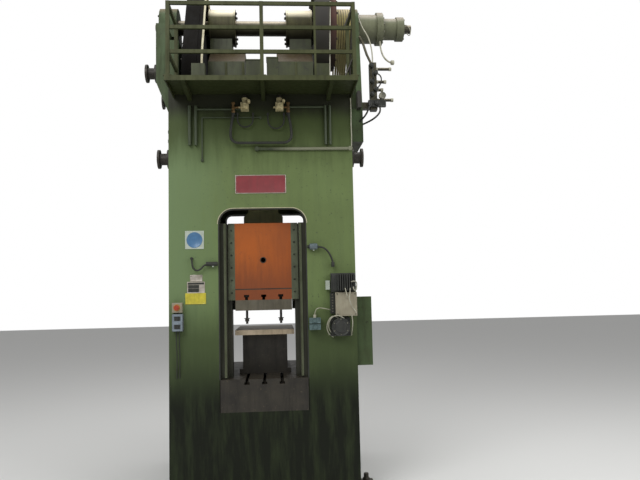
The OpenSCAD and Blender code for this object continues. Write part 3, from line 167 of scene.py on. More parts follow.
# What each surface is, and what that gives the eye. Lengths are in mm, those of the zones in m.
FINISHES = {
    # Alkyd enamel brushed on steel plate, bluish at the left; a painted shadow in a band below the platform,
    # painted shade under the platform, and painted shade of the tooling low down, black at the foot with oil
    # as well
    "front_enamel": dict(tones=("#68794b", "#617045", "#4b563a"), patch=420, run=70, runs=0.35,
        rough=(0.42, 0.62), grain=6, specks=(24, "#4d573c"), shine=0.2,
        zones=((0, -0.1, -0.75, "#6c805a", 0.8), (2, 2.56, 2.98, "#414d29", 0.95),
               (2, 3.0, 3.17, "#2a2c1f", 1.0), (2, 1.64, 1.22, "#3e4a2c", 0.9),
               (2, 1.24, 0.72, "#060804", 0.93, 0.3))),
    # The same enamel on the other plates, with dust on what faces up, painted shade with oil on what faces
    # down, and darker towards the bottom
    "green_enamel": dict(tones=("#66775a", "#5b6a48", "#363a28"), patch=380, run=80, runs=0.55,
        rough=(0.45, 0.7), grain=6, specks=(30, "#454b36"), dust_and_highlight=("#83826a", 0.5), under=("#2b2c1f", 0.85),
        zones=((2, 1.15, 0.2, "#1f2017", 0.92, 0.25),)),
    # The railing and its platform: enamel dulled by oil, black underneath as painted shade with oil
    "rail_enamel": dict(tones=("#474a2d", "#3c4024", "#232312"), patch=140, run=40, runs=0.6,
        rough=(0.45, 0.7), grain=5, specks=(22, "#33341f"), dust_and_highlight=("#5f5e41", 0.6), under=("#2a3016", 0.95),
        shine=0.25),
    # Pale green enamel of the outriggers with brown oil runs, and painted shade with oil on what faces down
    "side_enamel": dict(tones=("#435434", "#3b4729", "#252514"), patch=200, run=60, runs=0.7,
        rough=(0.45, 0.7), grain=6, relief=0.3, specks=(30, "#232514"), dust_and_highlight=("#7d6a50", 0.75),
        under=("#2a2a1e", 0.85), shine=0.3),
    # Enamel on the crown's castings under oil; tan dust lies on their shoulders, painted shade on what faces
    # down
    "oily_enamel": dict(tones=("#3e4425", "#31351c", "#17170c"), patch=160, run=60, runs=0.75,
        rough=(0.35, 0.65), grain=8, relief=0.5, specks=(36, "#242518"), dust_and_highlight=("#443018", 0.95),
        under=("#20201a", 0.85)),
    # Olive paint on turned drums: cream on top as dust and a painted highlight, black below as oil and painted
    # shade
    "drum_enamel": dict(tones=("#3f3b20", "#4b4929", "#201d11"), patch=120, run=40, runs=0.65,
        rough=(0.35, 0.6), grain=5, relief=0.3, specks=(20, "#2a291c"), dust_and_highlight=("#ede3c4", 1.0),
        under=("#171610", 1.0), top_range=(0.26, 0.62), shine=0.3),
    # The same on the clutch cylinder, cleaner, with painted shade on what faces down
    "clutch_enamel": dict(tones=("#6a6d53", "#5f6248", "#3d3c2a"), patch=110, run=40, rough=(0.38, 0.6),
        grain=5, relief=0.25, specks=(20, "#45442f"), dust_and_highlight=("#928978", 1.0), under=("#4a4c38", 0.7),
        top_range=(0.3, 0.72)),
    # Olive enamel of the slide's neck, painted much paler than it is as painted light, since it is lit only
    # from the window; painted shade on what faces down
    "neck_enamel": dict(tones=("#c4c78f", "#b2b684", "#7c7a55"), patch=120, run=50, runs=0.4,
        rough=(0.35, 0.6), grain=6, relief=0.3, dust_and_highlight=("#8f8a66", 0.6), under=("#2a291e", 0.85)),
    # Olive-brown enamel of the slide's flanges, rubbed by the guides
    "flange_enamel": dict(tones=("#59614a", "#4a4e39", "#2c2b20"), patch=90, run=24, runs=0.7,
        rough=(0.3, 0.55), grain=4, specks=(14, "#2f2e22")),
    # Orange enamel on the slide, scratched, with brown oil towards its foot and painted shade on what faces
    # down
    "orange_enamel": dict(tones=("#a6561d", "#9b501b", "#6b3c18"), patch=240, run=45, runs=0.45,
        rough=(0.4, 0.6), grain=5, specks=(18, "#7d4328"), dust_and_highlight=("#8c592d", 0.4), under=("#3b2a20", 0.85),
        shine=0.35, zones=((2, 1.98, 1.6, "#723b1f", 0.85), (0, -0.05, 0.26, "#8a4721", 0.5))),
    # Dark slate paint on sheet and on the flywheel's rim: dull, with brown dust
    "slate_paint": dict(tones=("#2f2d28", "#292621", "#40392c"), patch=260, run=70, runs=0.4,
        rough=(0.45, 0.7), grain=4, dust_and_highlight=("#5d5644", 0.5)),
    # The same slate paint on the gear guard, darker
    "guard_paint": dict(tones=("#0a0806", "#080705", "#120e09"), patch=260, run=70, runs=0.4,
        rough=(0.5, 0.75), grain=4, dust_and_highlight=("#4a4436", 0.5), shine=0.06),
    # Cast iron black with oil and worn where it is touched
    "oily_iron": dict(tones=("#2e2b26", "#3b372f", "#191714"), patch=140, run=60, runs=0.6, rough=(0.35, 0.6),
        metallic=0.35, grain=4, relief=0.4, specks=(22, "#4d4638"), dust_and_highlight=("#4f473b", 0.4)),
    # Planed guide ways: grey steel under brown grease
    "guide_steel": dict(tones=("#3d3d31", "#34352a", "#1f1f18"), patch=180, run=24, runs=0.6, flow=0.05,
        metallic=0.4, grain=3, relief=0.1),
    # Bright wear strip of the guides
    "strip_steel": dict(tones=("#6a6f58", "#585e47", "#363928"), patch=150, run=20, flow=0.05,
        rough=(0.25, 0.45), metallic=0.6, relief=0.05),
    # Cream painted highlight on the guard's beaded edge and on the cut edge over the front window
    "edge_highlight": dict(tones=("#c9c2a6", "#b3ac8f", "#7a7258"), patch=90, run=30, runs=0.4, rough=(0.4, 0.6),
        grain=3, relief=0.1),
    # Ground steel under brown oil
    "plate_steel": dict(tones=("#6b6658", "#5c5749", "#38342c"), patch=120, run=30, metallic=0.4,
        relief=0.06),
    # Ground steel with tan varnish of old oil, painted paler than it is as painted light against the slide's
    # shade
    "varnished_steel": dict(tones=("#e2cfb3", "#c7b598", "#88745a"), patch=110, run=30, metallic=0.3,
        relief=0.06, dust_and_highlight=("#b0a08a", 0.6)),
    # Turned shaft steel with a straw film of oil, dusty on top and black below as oil and painted shade
    "turned_steel": dict(tones=("#5c5847", "#4a4738", "#2a2820"), patch=90, run=14, runs=0.45, flow=1.0,
        rough=(0.28, 0.45), metallic=0.45, grain=1.5, relief=0.04, dust_and_highlight=("#9f947e", 1.0),
        under=("#1f1d17", 0.9), top_range=(0.26, 0.62)),
    # Bearing bronze under oil
    "bronze": dict(tones=("#8d6b33", "#7a5a2c", "#3b2c19"), patch=60, run=20, metallic=0.85, grain=1.5,
        relief=0.05),
    # Brass fittings gone brown
    "brown_brass": dict(tones=("#7d6038", "#5f4a2c", "#33291a"), patch=30, run=12, rough=(0.4, 0.6),
        metallic=0.4, relief=0.1),
    # Red oxide primer on the clutch cover, brown with oil, and painted shade on what faces down
    "red_oxide": dict(tones=("#5a3126", "#472a21", "#2c1c15"), patch=90, run=40, rough=(0.5, 0.75), grain=3,
        dust_and_highlight=("#7a5a48", 0.5), under=("#241a15", 0.85)),
    # Grey-blue motor enamel
    "motor_enamel": dict(tones=("#50626a", "#465862", "#2a2e2c"), patch=150, run=50, rough=(0.4, 0.6),
        grain=4, relief=0.3, dust_and_highlight=("#8d8c7c", 0.5)),
    # Ribbed belt rubber, brown with dust, its tones paler and its lower run lighter still as painted light
    # against the sheave's shade
    "belt_rubber": dict(tones=("#9e9464", "#898054", "#5d5639"), patch=90, run=30, runs=0.4,
        rough=(0.6, 0.85), grain=6, relief=0.6, dust_and_highlight=("#c9ba92", 0.9), top_range=(0.3, 0.7), shine=0.2,
        zones=((2, 4.02, 3.82, "#bdb386", 0.9),)),
    # Matt black rubber
    "hose_rubber": dict(tones=("#1f211c", "#292b25", "#38362b"), patch=40, run=20, runs=0.3,
        rough=(0.5, 0.75), grain=3, relief=0.15, dust_and_highlight=("#4c4a3d", 0.4)),
    # Steel tube painted over in dark green, with the conduit's right part bare and grey
    "pipe_enamel": dict(tones=("#364125", "#2b331d", "#171a11"), patch=60, run=20, rough=(0.4, 0.6), grain=3,
        relief=0.15, dust_and_highlight=("#797c62", 0.7),
        zones=((0, 0.04, 0.3, "#7d7f69", 0.9), (2, 2.806, 2.818, "#37422a", 1.0))),
    # Die-cast alloy, cream with brown oil in its corners; the cream is painted paler as painted light, since
    # the valves sit in the platform's shade
    "cast_alloy": dict(tones=("#e0d4a6", "#aa9e75", "#655437"), patch=30, run=14, runs=0.7,
        rough=(0.35, 0.55), metallic=0.2),
    # Moulded ABS gone beige, with oily finger marks
    "beige_plastic": dict(tones=("#9a9480", "#8c8572", "#675d46"), patch=70, run=30, runs=0.4,
        rough=(0.35, 0.55), grain=1.5, relief=0.06, specks=(12, "#867d64")),
    # Grey moulded plastic
    "grey_plastic": dict(tones=("#62676a", "#54585a", "#3a3b37"), patch=50, run=24, runs=0.45,
        rough=(0.35, 0.55), grain=1.5, relief=0.06),
    # Black moulded plastic
    "black_plastic": dict(tones=("#242623", "#2e302c", "#45433a"), patch=40, run=18, runs=0.3, grain=1.5,
        relief=0.05),
    # Glossy orange-red moulded plastic
    "red_plastic": dict(tones=("#a8442a", "#943823", "#5a2517"), patch=30, run=12, runs=0.3,
        rough=(0.2, 0.35), relief=0.03, coat=0.3),
    # Pale PVC of cables, greyed by oil
    "pale_pvc": dict(tones=("#b4b2a0", "#9c9986", "#67634f"), patch=50, run=20, rough=(0.35, 0.55),
        relief=0.04),
    # Amber moulded plastic
    "amber_plastic": dict(tones=("#b88646", "#a4753a", "#5f4226"), patch=30, run=12, runs=0.3,
        rough=(0.25, 0.4), relief=0.03),
    # Pale grey-blue moulded plastic of the two-button station's lid
    "pale_plastic": dict(tones=("#7f8b94", "#707b84", "#4a4f4f"), patch=50, run=24, runs=0.4,
        rough=(0.35, 0.55), grain=1.5, relief=0.06),
    # Anodised teal valve bodies
    "teal_anodised": dict(tones=("#617676", "#4e6161", "#303a36"), patch=30, run=14, metallic=0.3, grain=1.5,
        relief=0.05),
    # Painted sign metal: white, blue, yellow and maroon fields
    "white_sign": dict(tones=("#b3bdb2", "#a5aea0", "#848a78"), patch=60, run=30, runs=0.3, rough=(0.3, 0.45),
        relief=0.03, coat=0.2),
    "blue_sign": dict(tones=("#47749c", "#3f688f", "#66859a"), patch=40, run=20, runs=0.2, rough=(0.3, 0.45),
        relief=0.03, coat=0.2),
    "yellow_sign": dict(tones=("#c9bd39", "#b2a62f", "#7c742b"), patch=40, run=20, runs=0.4, relief=0.03,
        coat=0.2),
    "maroon_sign": dict(tones=("#863439", "#7a2e33", "#5f3531"), patch=70, run=30, runs=0.3,
        rough=(0.3, 0.45), relief=0.03, coat=0.25),
    # Etched aluminium plate
    "etched_plate": dict(tones=("#bbb4aa", "#a49c90", "#736c59"), patch=40, run=14, runs=0.4,
        rough=(0.3, 0.45), metallic=0.4, grain=1.5, relief=0.03),
    # Zinc-plated small steel
    "zinc_steel": dict(tones=("#8d8b7d", "#6f6d60", "#35332a"), patch=20, run=10, metallic=0.7, grain=1.5,
        relief=0.05),
    # Blue-grey polycarbonate of the oil bowl
    "bowl_plastic": dict(tones=("#5e6b70", "#525e63", "#3a403a"), patch=30, run=12, runs=0.4,
        rough=(0.15, 0.3), relief=0.03, coat=0.4),
}

# The CAD nodes of each finish
NODE_FINISH = {
    "front_enamel": "front_plate",
    "green_enamel": "rear_plate outer_plates inner_plates crown_plate bed_box",
    "rail_enamel": "platform_deck platform_brackets railing",
    "side_enamel": "left_outrigger right_outrigger brake_housing side_guard",
    "oily_enamel": "bearing_pedestals crown_boxes",
    "drum_enamel": "shaft_housings",
    "clutch_enamel": "clutch_housing",
    "neck_enamel": "slide_neck",
    "flange_enamel": "slide_flanges",
    "orange_enamel": "slide_body slide_plate",
    "slate_paint": "flywheel regulator_box",
    "guard_paint": "gear_guard",
    "oily_iron": "anchor_feet bed_block bolster riser_block lifting_spools motor_base t_bolts "
                 "belt_sheave motor_rotor connecting_rod bull_gear drive_pinion",
    "guide_steel": "guide_rails",
    "plate_steel": "upper_die_plate",
    "varnished_steel": "die_plate",
    "turned_steel": "crankshaft drive_shaft wrist_pin air_union air_manifold",
    "bronze": "bearing_bushes slide_liners",
    "red_oxide": "clutch_cover clutch_plate",
    "motor_enamel": "motor_case",
    "belt_rubber": "v_belts",
    "hose_rubber": "front_hoses slide_hoses",
    "pipe_enamel": "front_pipes",
    "cast_alloy": "air_valves",
    "beige_plastic": "stop_box control_boxes",
    "grey_plastic": "button_box",
    "black_plastic": "upper_button lower_button",
    "red_plastic": "stop_button",
}
_made = {}


def finish_of(name):
    """The material of that finish, built once."""
    if name not in _made:
        _made[name] = weathered(name, **FINISHES[name])
    return _made[name]


# ---- Modelling helpers

def deselect():
    """Object mode with nothing selected."""
    if bpy.context.object and bpy.context.object.mode != "OBJECT":
        bpy.ops.object.mode_set(mode="OBJECT")
    bpy.ops.object.select_all(action="DESELECT")


def pick(*pieces):
    """Selects these pieces alone and makes the first one active."""
    deselect()
    for piece in pieces:
        piece.select_set(True)
    bpy.context.view_layer.objects.active = pieces[0]


def settled():
    """The active object, with its place, turn and size put into its mesh."""
    bpy.ops.object.transform_apply(location=True, rotation=True, scale=True)
    return bpy.context.object


def block(low, high):
    """A block between two corners in mm."""
    deselect()
    low, high = Vector(low) * MM, Vector(high) * MM
    bpy.ops.mesh.primitive_cube_add(size=1, location=(low + high) / 2, scale=high - low)
    return settled()


def drum(foot, axis, radius, length, vertices=32):
    """A cylinder in mm that starts at foot and grows along axis."""
    deselect()
    turn = Vector(axis).to_track_quat("Z", "Y").to_euler()
    middle = (Vector(foot) + Vector(axis) * length / 2) * MM
    bpy.ops.mesh.primitive_cylinder_add(vertices=vertices, radius=radius * MM, depth=length * MM,
                                        location=middle, rotation=turn)
    return settled()


def round_edges(piece, width, segments=2):
    """Rounds the sharp edges of the active piece by width mm."""
    bevel = piece.modifiers.new("edge", "BEVEL")
    bevel.width = width * MM
    bevel.segments = segments
    bevel.limit_method = "ANGLE"
    bpy.ops.object.modifier_apply(modifier=bevel.name)
    return piece


def framed(piece, facing, rim, depth=0.0, *steps, edge=0.0, segments=2):
    """Insets the active piece's faces that look along facing by rim mm and pushes them out by depth mm.

    More (rim, depth) steps go on inside, and then the piece's sharp edges are rounded by edge mm.
    """
    bpy.ops.object.mode_set(mode="EDIT")
    bpy.ops.mesh.select_mode(type="FACE")
    shape = bmesh.from_edit_mesh(piece.data)
    for face in shape.faces:
        face.select = face.normal.dot(facing) > 0.98
    bmesh.update_edit_mesh(piece.data)
    for thickness, out in ((rim, depth), *steps):
        bpy.ops.mesh.inset(thickness=thickness * MM, depth=out * MM)
    bpy.ops.object.mode_set(mode="OBJECT")
    return round_edges(piece, edge, segments) if edge else piece


def bore(piece, foot, axis, radius, length, vertices=32):
    """Cuts a round hole into the piece: a drum in mm from foot along axis."""
    tool = drum(foot, axis, radius, length, vertices)
    cut = piece.modifiers.new("hole", "BOOLEAN")
    cut.object = tool
    cut.solver = "EXACT"
    pick(piece)
    bpy.ops.object.modifier_apply(modifier=cut.name)
    bpy.data.objects.remove(tool)
    return piece


def path(kind, points):
    """A new curve and its one spline of that kind through points in mm."""
    deselect()
    bpy.ops.curve.primitive_nurbs_path_add(location=(0, 0, 0))
    line = bpy.context.object.data
    line.splines.clear()
    line.use_fill_caps = True
    spline = line.splines.new(kind)
    spline.points.add(len(points) - 1)
    for point, place in zip(spline.points, points):
        point.co = (*(value * MM for value in place), 1.0)
    return line, spline


def tube(points, radius, y=0.0, closed=False):
    """A smooth tube through points in mm, whose second values count from y."""
    line, spline = path("NURBS", [(along, y + out, up) for along, out, up in points])
    spline.use_endpoint_u = not closed
    spline.use_cyclic_u = closed
    spline.order_u = 3
    line.resolution_u = 5
    line.bevel_depth = radius * MM
    line.bevel_resolution = 2
    bpy.ops.object.convert(target="MESH")
    return bpy.context.object


def lip(points, x0, x1, thickness):
    """A sheet strip from x0 to x1 in mm that follows points (y, z) in mm."""
    line = path("POLY", [(y, z, 0.0) for y, z in points])[0]
    line.dimensions = "2D"
    line.extrude = (x1 - x0 - thickness) / 2 * MM
    line.bevel_depth = thickness / 2 * MM
    line.bevel_resolution = 1
    turn = Matrix(((0, 0, 1), (1, 0, 0), (0, 1, 0))).to_4x4()
    bpy.context.object.matrix_world = Matrix.Translation(((x0 + x1) / 2 * MM, 0, 0)) @ turn
    bpy.ops.object.convert(target="MESH")
    return settled()


def join(pieces):
    """One object out of several, with its place in its mesh."""
    pick(*pieces)
    bpy.ops.object.join()
    return settled()


def copies(piece, places):
    """Copies a piece, modelled at the origin along Z, to each (point in mm, direction) and joins them."""
    made = []
    for point, direction in places:
        pick(piece)
        bpy.ops.object.duplicate()
        turn = Vector(direction).to_track_quat("Z", "Y").to_matrix().to_4x4()
        bpy.context.object.matrix_world = Matrix.Translation(Vector(point) * MM) @ turn
        made.append(bpy.context.object)
    deselect()
    bpy.data.objects.remove(piece)
    return join(made)


def dress(piece, name, finish, body="frame"):
    """Names, smooths and paints the piece and lets it ride on its body."""
    piece.name = name
    pick(piece)
    bpy.ops.object.shade_smooth_by_angle(angle=SMOOTH_BELOW)
    piece.data.materials.clear()
    piece.data.materials.append(finish_of(finish))
    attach(piece, body)
    return piece


def hex_screw(width, height):
    """A hexagon head on a washer, at the origin, along Z."""
    head = drum((0, 0, height * 0.25), UP, width / 2, height * 0.75, 6)
    framed(head, UP, width * 0.08, edge=width * 0.05, segments=1)
    washer = drum((0, 0, 0), UP, width * 0.66, height * 0.25, 20)
    return join([head, round_edges(washer, width * 0.03, 1)])


def socket_screw(width, height):
    """A cylinder head with a socket, at the origin, along Z."""
    head = drum((0, 0, 0), UP, width / 2, height, 20)
    return framed(head, UP, width * 0.2, 0, (0.001, -height * 0.6), edge=width * 0.05, segments=1)


def bolts(name, finish, places, width, height, body="frame", head=hex_screw):
    """Screws of that width and height in mm at the places, as one piece."""
    dress(copies(head(width, height), places), name, finish, body)


def ring(centre, axis, radius, count, start=0.0):
    """Places for screws on a circle in mm round a level axis."""
    across = axis.cross(UP)
    return [(Vector(centre) + radius * (math.cos(a) * UP + math.sin(a) * across), axis)
            for a in (start + 2 * math.pi * k / count for k in range(count))]


# ---- Sizes and colours that a user would change

def length(name, description, default, low, high):
    """A length in mm for the panel."""
    return bpy.props.FloatProperty(name=name, description=description + ", in mm", default=default, min=low,
                                   max=high)


class PressSizes(bpy.types.PropertyGroup):
    """Sizes of the trim."""
    rim: length("Window rim", "Radius of the rubber round the window", 9.0, 4.0, 14.0)
    screw: length("Screw heads", "Width of the small hexagon heads", 24.0, 16.0, 32.0)
    big_screw: length("Big screws", "Width of the big hexagon heads", 42.0, 30.0, 55.0)
    cable: length("Cables", "Radius of a cable", 4.0, 2.0, 6.0)


class PressStage(bpy.types.PropertyGroup):
    """Floor, light and camera."""
    floor: bpy.props.FloatVectorProperty(name="Floor", description="Colour of the floor", subtype="COLOR",
                                         default=linear("#e4e4e2")[:3])
    key_light: bpy.props.FloatProperty(name="Key light", description="Power of the big lamp, in watts",
                                       default=270.0, min=0.0)
    sky: bpy.props.FloatProperty(name="Sky", description="Strength of the light from all round",
                                 default=0.38, min=0.0)
    eye_height: bpy.props.FloatProperty(name="Eye height", description="Height of the camera", default=1.6,
                                        unit="LENGTH")


# ---- Pieces

class PRESS_OT_stage(bpy.types.Operator):
    """Pale floor, soft light all round, three lamps and the camera at the photograph's place"""
    bl_idname = "press.stage"
    bl_label = "Stage, light and camera"

    def execute(self, context):
        scene = context.scene
        stage = scene.press_stage
        deselect()
        bpy.ops.mesh.primitive_plane_add(size=60, location=(0, 0, -0.0005))
        floor = context.object
        floor.name = "studio_floor"
        paint = bpy.data.materials.new("studio_floor")
        tree = bare_tree(paint)
        plain = add(tree, "ShaderNodeBsdfPrincipled", {"Base Color": (*stage.floor, 1.0), "Roughness": 0.8})
        add(tree, "ShaderNodeOutputMaterial", {"Surface": plain["BSDF"]})
        floor.data.materials.append(paint)

        # Seen straight or through something clear the sky is white; on the press it is as strong as stage.sky
        scene.world = bpy.data.worlds.new("studio")
        tree = bare_tree(scene.world)
        rays = add(tree, "ShaderNodeLightPath")
        seen = add(tree, "ShaderNodeMath", {0: rays["Is Camera Ray"], 1: rays["Is Transmission Ray"]},
                   operation="MAXIMUM")
        soft, white = (add(tree, "ShaderNodeBackground", {"Color": (1, 1, 1, 1), "Strength": strength})
                       for strength in (stage.sky, 1.0))
        both = add(tree, "ShaderNodeMixShader", {0: seen["Value"], 1: soft["Background"],
                                                 2: white["Background"]})
        add(tree, "ShaderNodeOutputWorld", {"Surface": both["Shader"]})

        middle = Vector((0, 0, 2.0))
        for name, place, size, power in (("key_lamp", (-3.2, -5.5, 6.4), 4.0, stage.key_light),
                                         ("fill_lamp", (4.5, -3.5, 4.5), 4.0, stage.key_light * 0.45),
                                         ("roof_lamp", (0.5, -0.5, 8.5), 5.0, stage.key_light * 0.8)):
            deselect()
            bpy.ops.object.light_add(type="AREA", location=place)
            lamp = context.object
            lamp.name = name
            lamp.data.size = size
            lamp.data.energy = power
            lamp.rotation_euler = (middle - Vector(place)).to_track_quat("-Z", "Y").to_euler()

        deselect()
        bpy.ops.object.camera_add(location=(0.113, -5.884, stage.eye_height))
        camera = context.object
        camera.name = "photo_camera"
        yaw, pitch, roll = (math.radians(a) for a in (3.9, 4.8, 1.3))
        ahead = Vector((math.sin(yaw) * math.cos(pitch), math.cos(yaw) * math.cos(pitch), math.sin(pitch)))
        level = Vector((math.cos(yaw), -math.sin(yaw), 0))
        upright = level.cross(ahead)
        right = math.cos(roll) * level - math.sin(roll) * upright
        up = math.sin(roll) * level + math.cos(roll) * upright
        camera.rotation_euler = Matrix((right, up, -ahead)).transposed().to_euler()
        camera.data.lens = camera.data.sensor_width = 36  # mm
        camera.data.clip_end = 100
        scene.camera = camera
        scene.view_settings.view_transform = "Standard"
        return {"FINISHED"}


class PRESS_OT_paint(bpy.types.Operator):
    """Gives each CAD node its finish"""
    bl_idname = "press.paint"
    bl_label = "Paint the press"

    def execute(self, context):
        bare = set(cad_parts)
        for finish, nodes in NODE_FINISH.items():
            for node in nodes.split():
                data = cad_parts[node].data
                data.materials.clear()
                data.materials.append(finish_of(finish))
                bare.remove(node)
        if bare:
            raise RuntimeError(f"no finish for {sorted(bare)}")
        return {"FINISHED"}


class PRESS_OT_window_rim(bpy.types.Operator):
    """Black rubber round both windows and a cream painted highlight along the cut edge over the front one"""
    bl_idname = "press.window_rim"
    bl_label = "Window rims"

    def execute(self, context):
        rim = context.scene.press_sizes.rim
        rear_y = corners("rear_plate")[1].y

        def arch(half, top, bend, y, radius, foot=WINDOW_SILL):
            """A tube up one side of a window, over its rounded corners and down the other side."""
            arc = [(half - bend + bend * math.cos(a), top - bend + bend * math.sin(a))
                   for a in (math.radians(d) for d in range(0, 91, 15))]
            side = [(half, foot + (top - bend - foot) * k / 6) for k in range(6)]
            right = [(x, y, z) for x, z in side + arc]
            return tube(right + [(-x, y, z) for x, y, z in reversed(right)], radius)

        rims = [arch(355, 2300, 120, FRONT_Y + rim - 1, rim), arch(400, 2420, 60, rear_y - rim + 1, rim)]
        dress(join(rims), "window_rims", "hose_rubber")
        dress(arch(362, 2307, 127, FRONT_Y - 1, 2.8, 2185), "window_edge", "edge_highlight")
        return {"FINISHED"}


class PRESS_OT_plates(bpy.types.Operator):
    """Bare plates on the front: maroon, white with a blue disc, etched and yellow"""
    bl_idname = "press.plates"
    bl_label = "Plates on the front"

    def execute(self, context):
        y = FRONT_Y
        for name, finish, x0, x1, z0, z1 in (
                ("maker_plate", "maroon_sign", -210, 193, 2430, 2573),
                ("sign_plate", "white_sign", -620, -470, 1980, 2127),
                ("data_plate", "etched_plate", -606, -465, 1627, 1718),
                ("top_plate", "etched_plate", -582, -484, 1720, 1773),
                ("field_plate", "yellow_sign", -620, -457, 1539, 1627)):
            plate = block((x0, y - 4, z0), (x1, y, z1))
            dress(framed(plate, FRONT, 6, 0, (2, -1.2), edge=1.0), name, finish)
        turns = [(-212, -3, 2428), (195, -3, 2428), (195, -3, 2575), (-212, -3, 2575)]
        edges = [tube(ends, 3, y) for ends in zip(turns, turns[1:] + turns[:1])]
        dress(join(edges), "maker_rim", "etched_plate")
        disc = drum((-545, y - 2.5, 2053), FRONT, 63, 2.4, 48)
        dress(framed(disc, FRONT, 5, 0, (1, -0.6)), "sign_disc", "blue_sign")
        fields = [framed(block((x0, y - 3.6, z0), (x1, y - 2.6, z1)), FRONT, 2) for x0, x1, z0, z1 in (
            (-597, -511, 1635, 1664), (-597, -511, 1666, 1692), (-600, -471, 1696, 1711))]
        dress(join(fields), "data_fields", "black_plastic")
        places = [((x, y - 3.8, z), FRONT) for x, z in ((-201, 2439), (-201, 2564), (184, 2439), (184, 2564),
                                                        (-573, 1764), (-493, 1764))]
        bolts("plate_screws", "zinc_steel", places, 9, 3, head=socket_screw)
        return {"FINISHED"}


class PRESS_OT_screws(bpy.types.Operator):
    """Screws of the flanges, bearings, brackets, feet and motor"""
    bl_idname = "press.screws"
    bl_label = "Screws"

    def execute(self, context):
        small, big = context.scene.press_sizes.screw, context.scene.press_sizes.big_screw
        # Bearing housings: their outer and inner rims
        places = [place for x, axis in ((-476, LEFT), (-236, RIGHT), (476, RIGHT), (236, LEFT))
                  for place in ring((x, 0, SHAFT_Z), axis, 135, 8, HALF_STEP)]
        bolts("housing_screws", "oily_iron", places, small, 15)
        # Flywheel rim and clutch cover
        places = ring((corners("flywheel")[0].x, 0, SHAFT_Z), LEFT, 400, 10)
        bolts("flywheel_screws", "oily_iron", places, big * 0.8, 18, "flywheel")
        places = ring((corners("clutch_cover")[1].x, 0, SHAFT_Z), RIGHT, 355, 20)
        bolts("cover_screws", "oily_iron", places, small, 14, "flywheel")
        # Flanges of the clutch cylinder
        places = [place for x, *circle in ((1148, 128, 12), (1351, 92, 8), (906, 160, 10, 0.3))
                  for place in ring((x, 0, SHAFT_Z), RIGHT, *circle)]
        bolts("clutch_screws", "zinc_steel", places, small * 0.8, 12)
        # Foot and rim of the brake housing
        low, high = corners("brake_housing")
        places = [((x, y, low.z + 22), UP)
                  for x in (low.x + 30, high.x - 30) for y in (low.y + 9, high.y - 9)]
        places += ring((low.x, 0, SHAFT_Z), LEFT, 150, 8, HALF_STEP)
        bolts("brake_screws", "oily_iron", places, small * 0.8, 12)
        # Rim of the gear guard's left face, round the gear and round the shaft
        x = corners("gear_guard")[0].x
        places = [p for p in ring((x, 0, CRANK_Z), LEFT, 545, 18, 0.1) if 3320 < p[0].z < CRANK_Z + 330]
        places += [p for p in ring((x, 0, SHAFT_Z), LEFT, 255, 10, 0.3) if p[0].z > SHAFT_Z - 60]
        bolts("guard_screws", "oily_iron", places, small * 0.7, 10)
        # Left outrigger's foot on the frame's side
        places = [((-780, y, z), LEFT) for y in range(-420, 421, 120) for z in (2930, 3010)]
        bolts("outrigger_screws", "oily_iron", places, big * 0.8, 18)
        # Anchor nuts with their studs
        nut = hex_screw(64, 52)
        stud = framed(drum((0, 0, 50), UP, 20, 36, 20), UP, 4, 3)
        places = [((x, y, 50), UP) for x in (-810, 810) for y in (-560, 560)]
        dress(copies(join([nut, stud]), places), "anchor_nuts", "oily_iron")
        # Counterbores of the slide's flanges
        low, high = corners("slide_flanges")
        heights = [low.z + 60 + k * (high.z - low.z - 120) / 5 for k in range(6)]
        places = [((x, y, z), axis) for z in heights for x in (low.x + 39, high.x - 39)
                  for y, axis in ((low.y + 9, FRONT), (high.y - 9, REAR))]
        bolts("flange_screws", "oily_iron", places, 15, 3, "slide", socket_screw)
        # Pedestal feet, on their fronts and rears
        places = [((x, y, 3326), axis) for x in (-440, -370, -240, -170, 170, 240, 370, 440)
                  for y, axis in ((-300, FRONT), (300, REAR))]
        bolts("pedestal_screws", "oily_iron", places, small, 14)
        # Both covers of the motor
        places = [place for x, axis in zip((end.x for end in corners("motor_case")), (LEFT, RIGHT))
                  for place in ring((x, MOTOR_Y, MOTOR_Z), axis, 132, 8, HALF_STEP)]
        bolts("motor_screws", "zinc_steel", places, 14, 8)
        return {"FINISHED"}


class PRESS_OT_slide_trim(bpy.types.Operator):
    """Seam of the slide, the ring round its hole and the bright strips on the rails"""
    bl_idname = "press.slide_trim"
    bl_label = "Trim of the slide"

    def execute(self, context):
        low, high = corners("slide_body")
        seam = block((low.x + 1, low.y - 1.5, low.z - 4), (high.x - 1, low.y + 2, low.z + 4))
        dress(framed(seam, FRONT, 2, -1), "slide_seam", "oily_iron", "slide")
        sight = framed(drum((0, low.y + 1, SIGHT_Z), FRONT, 25, 4, 40), FRONT, 2, 0.5)
        bore(sight, (0, low.y + 10, SIGHT_Z), FRONT, 19, 30, 40)
        dress(sight, "sight_ring", "oily_iron", "slide")
        strips = [framed(block((x - 10, -652, 945), (x + 10, -640, 2184)), FRONT, 3, 0, (2, -2), edge=1.5)
                  for x in (-308, 308)]
        dress(join(strips), "rail_strips", "strip_steel")
        return {"FINISHED"}


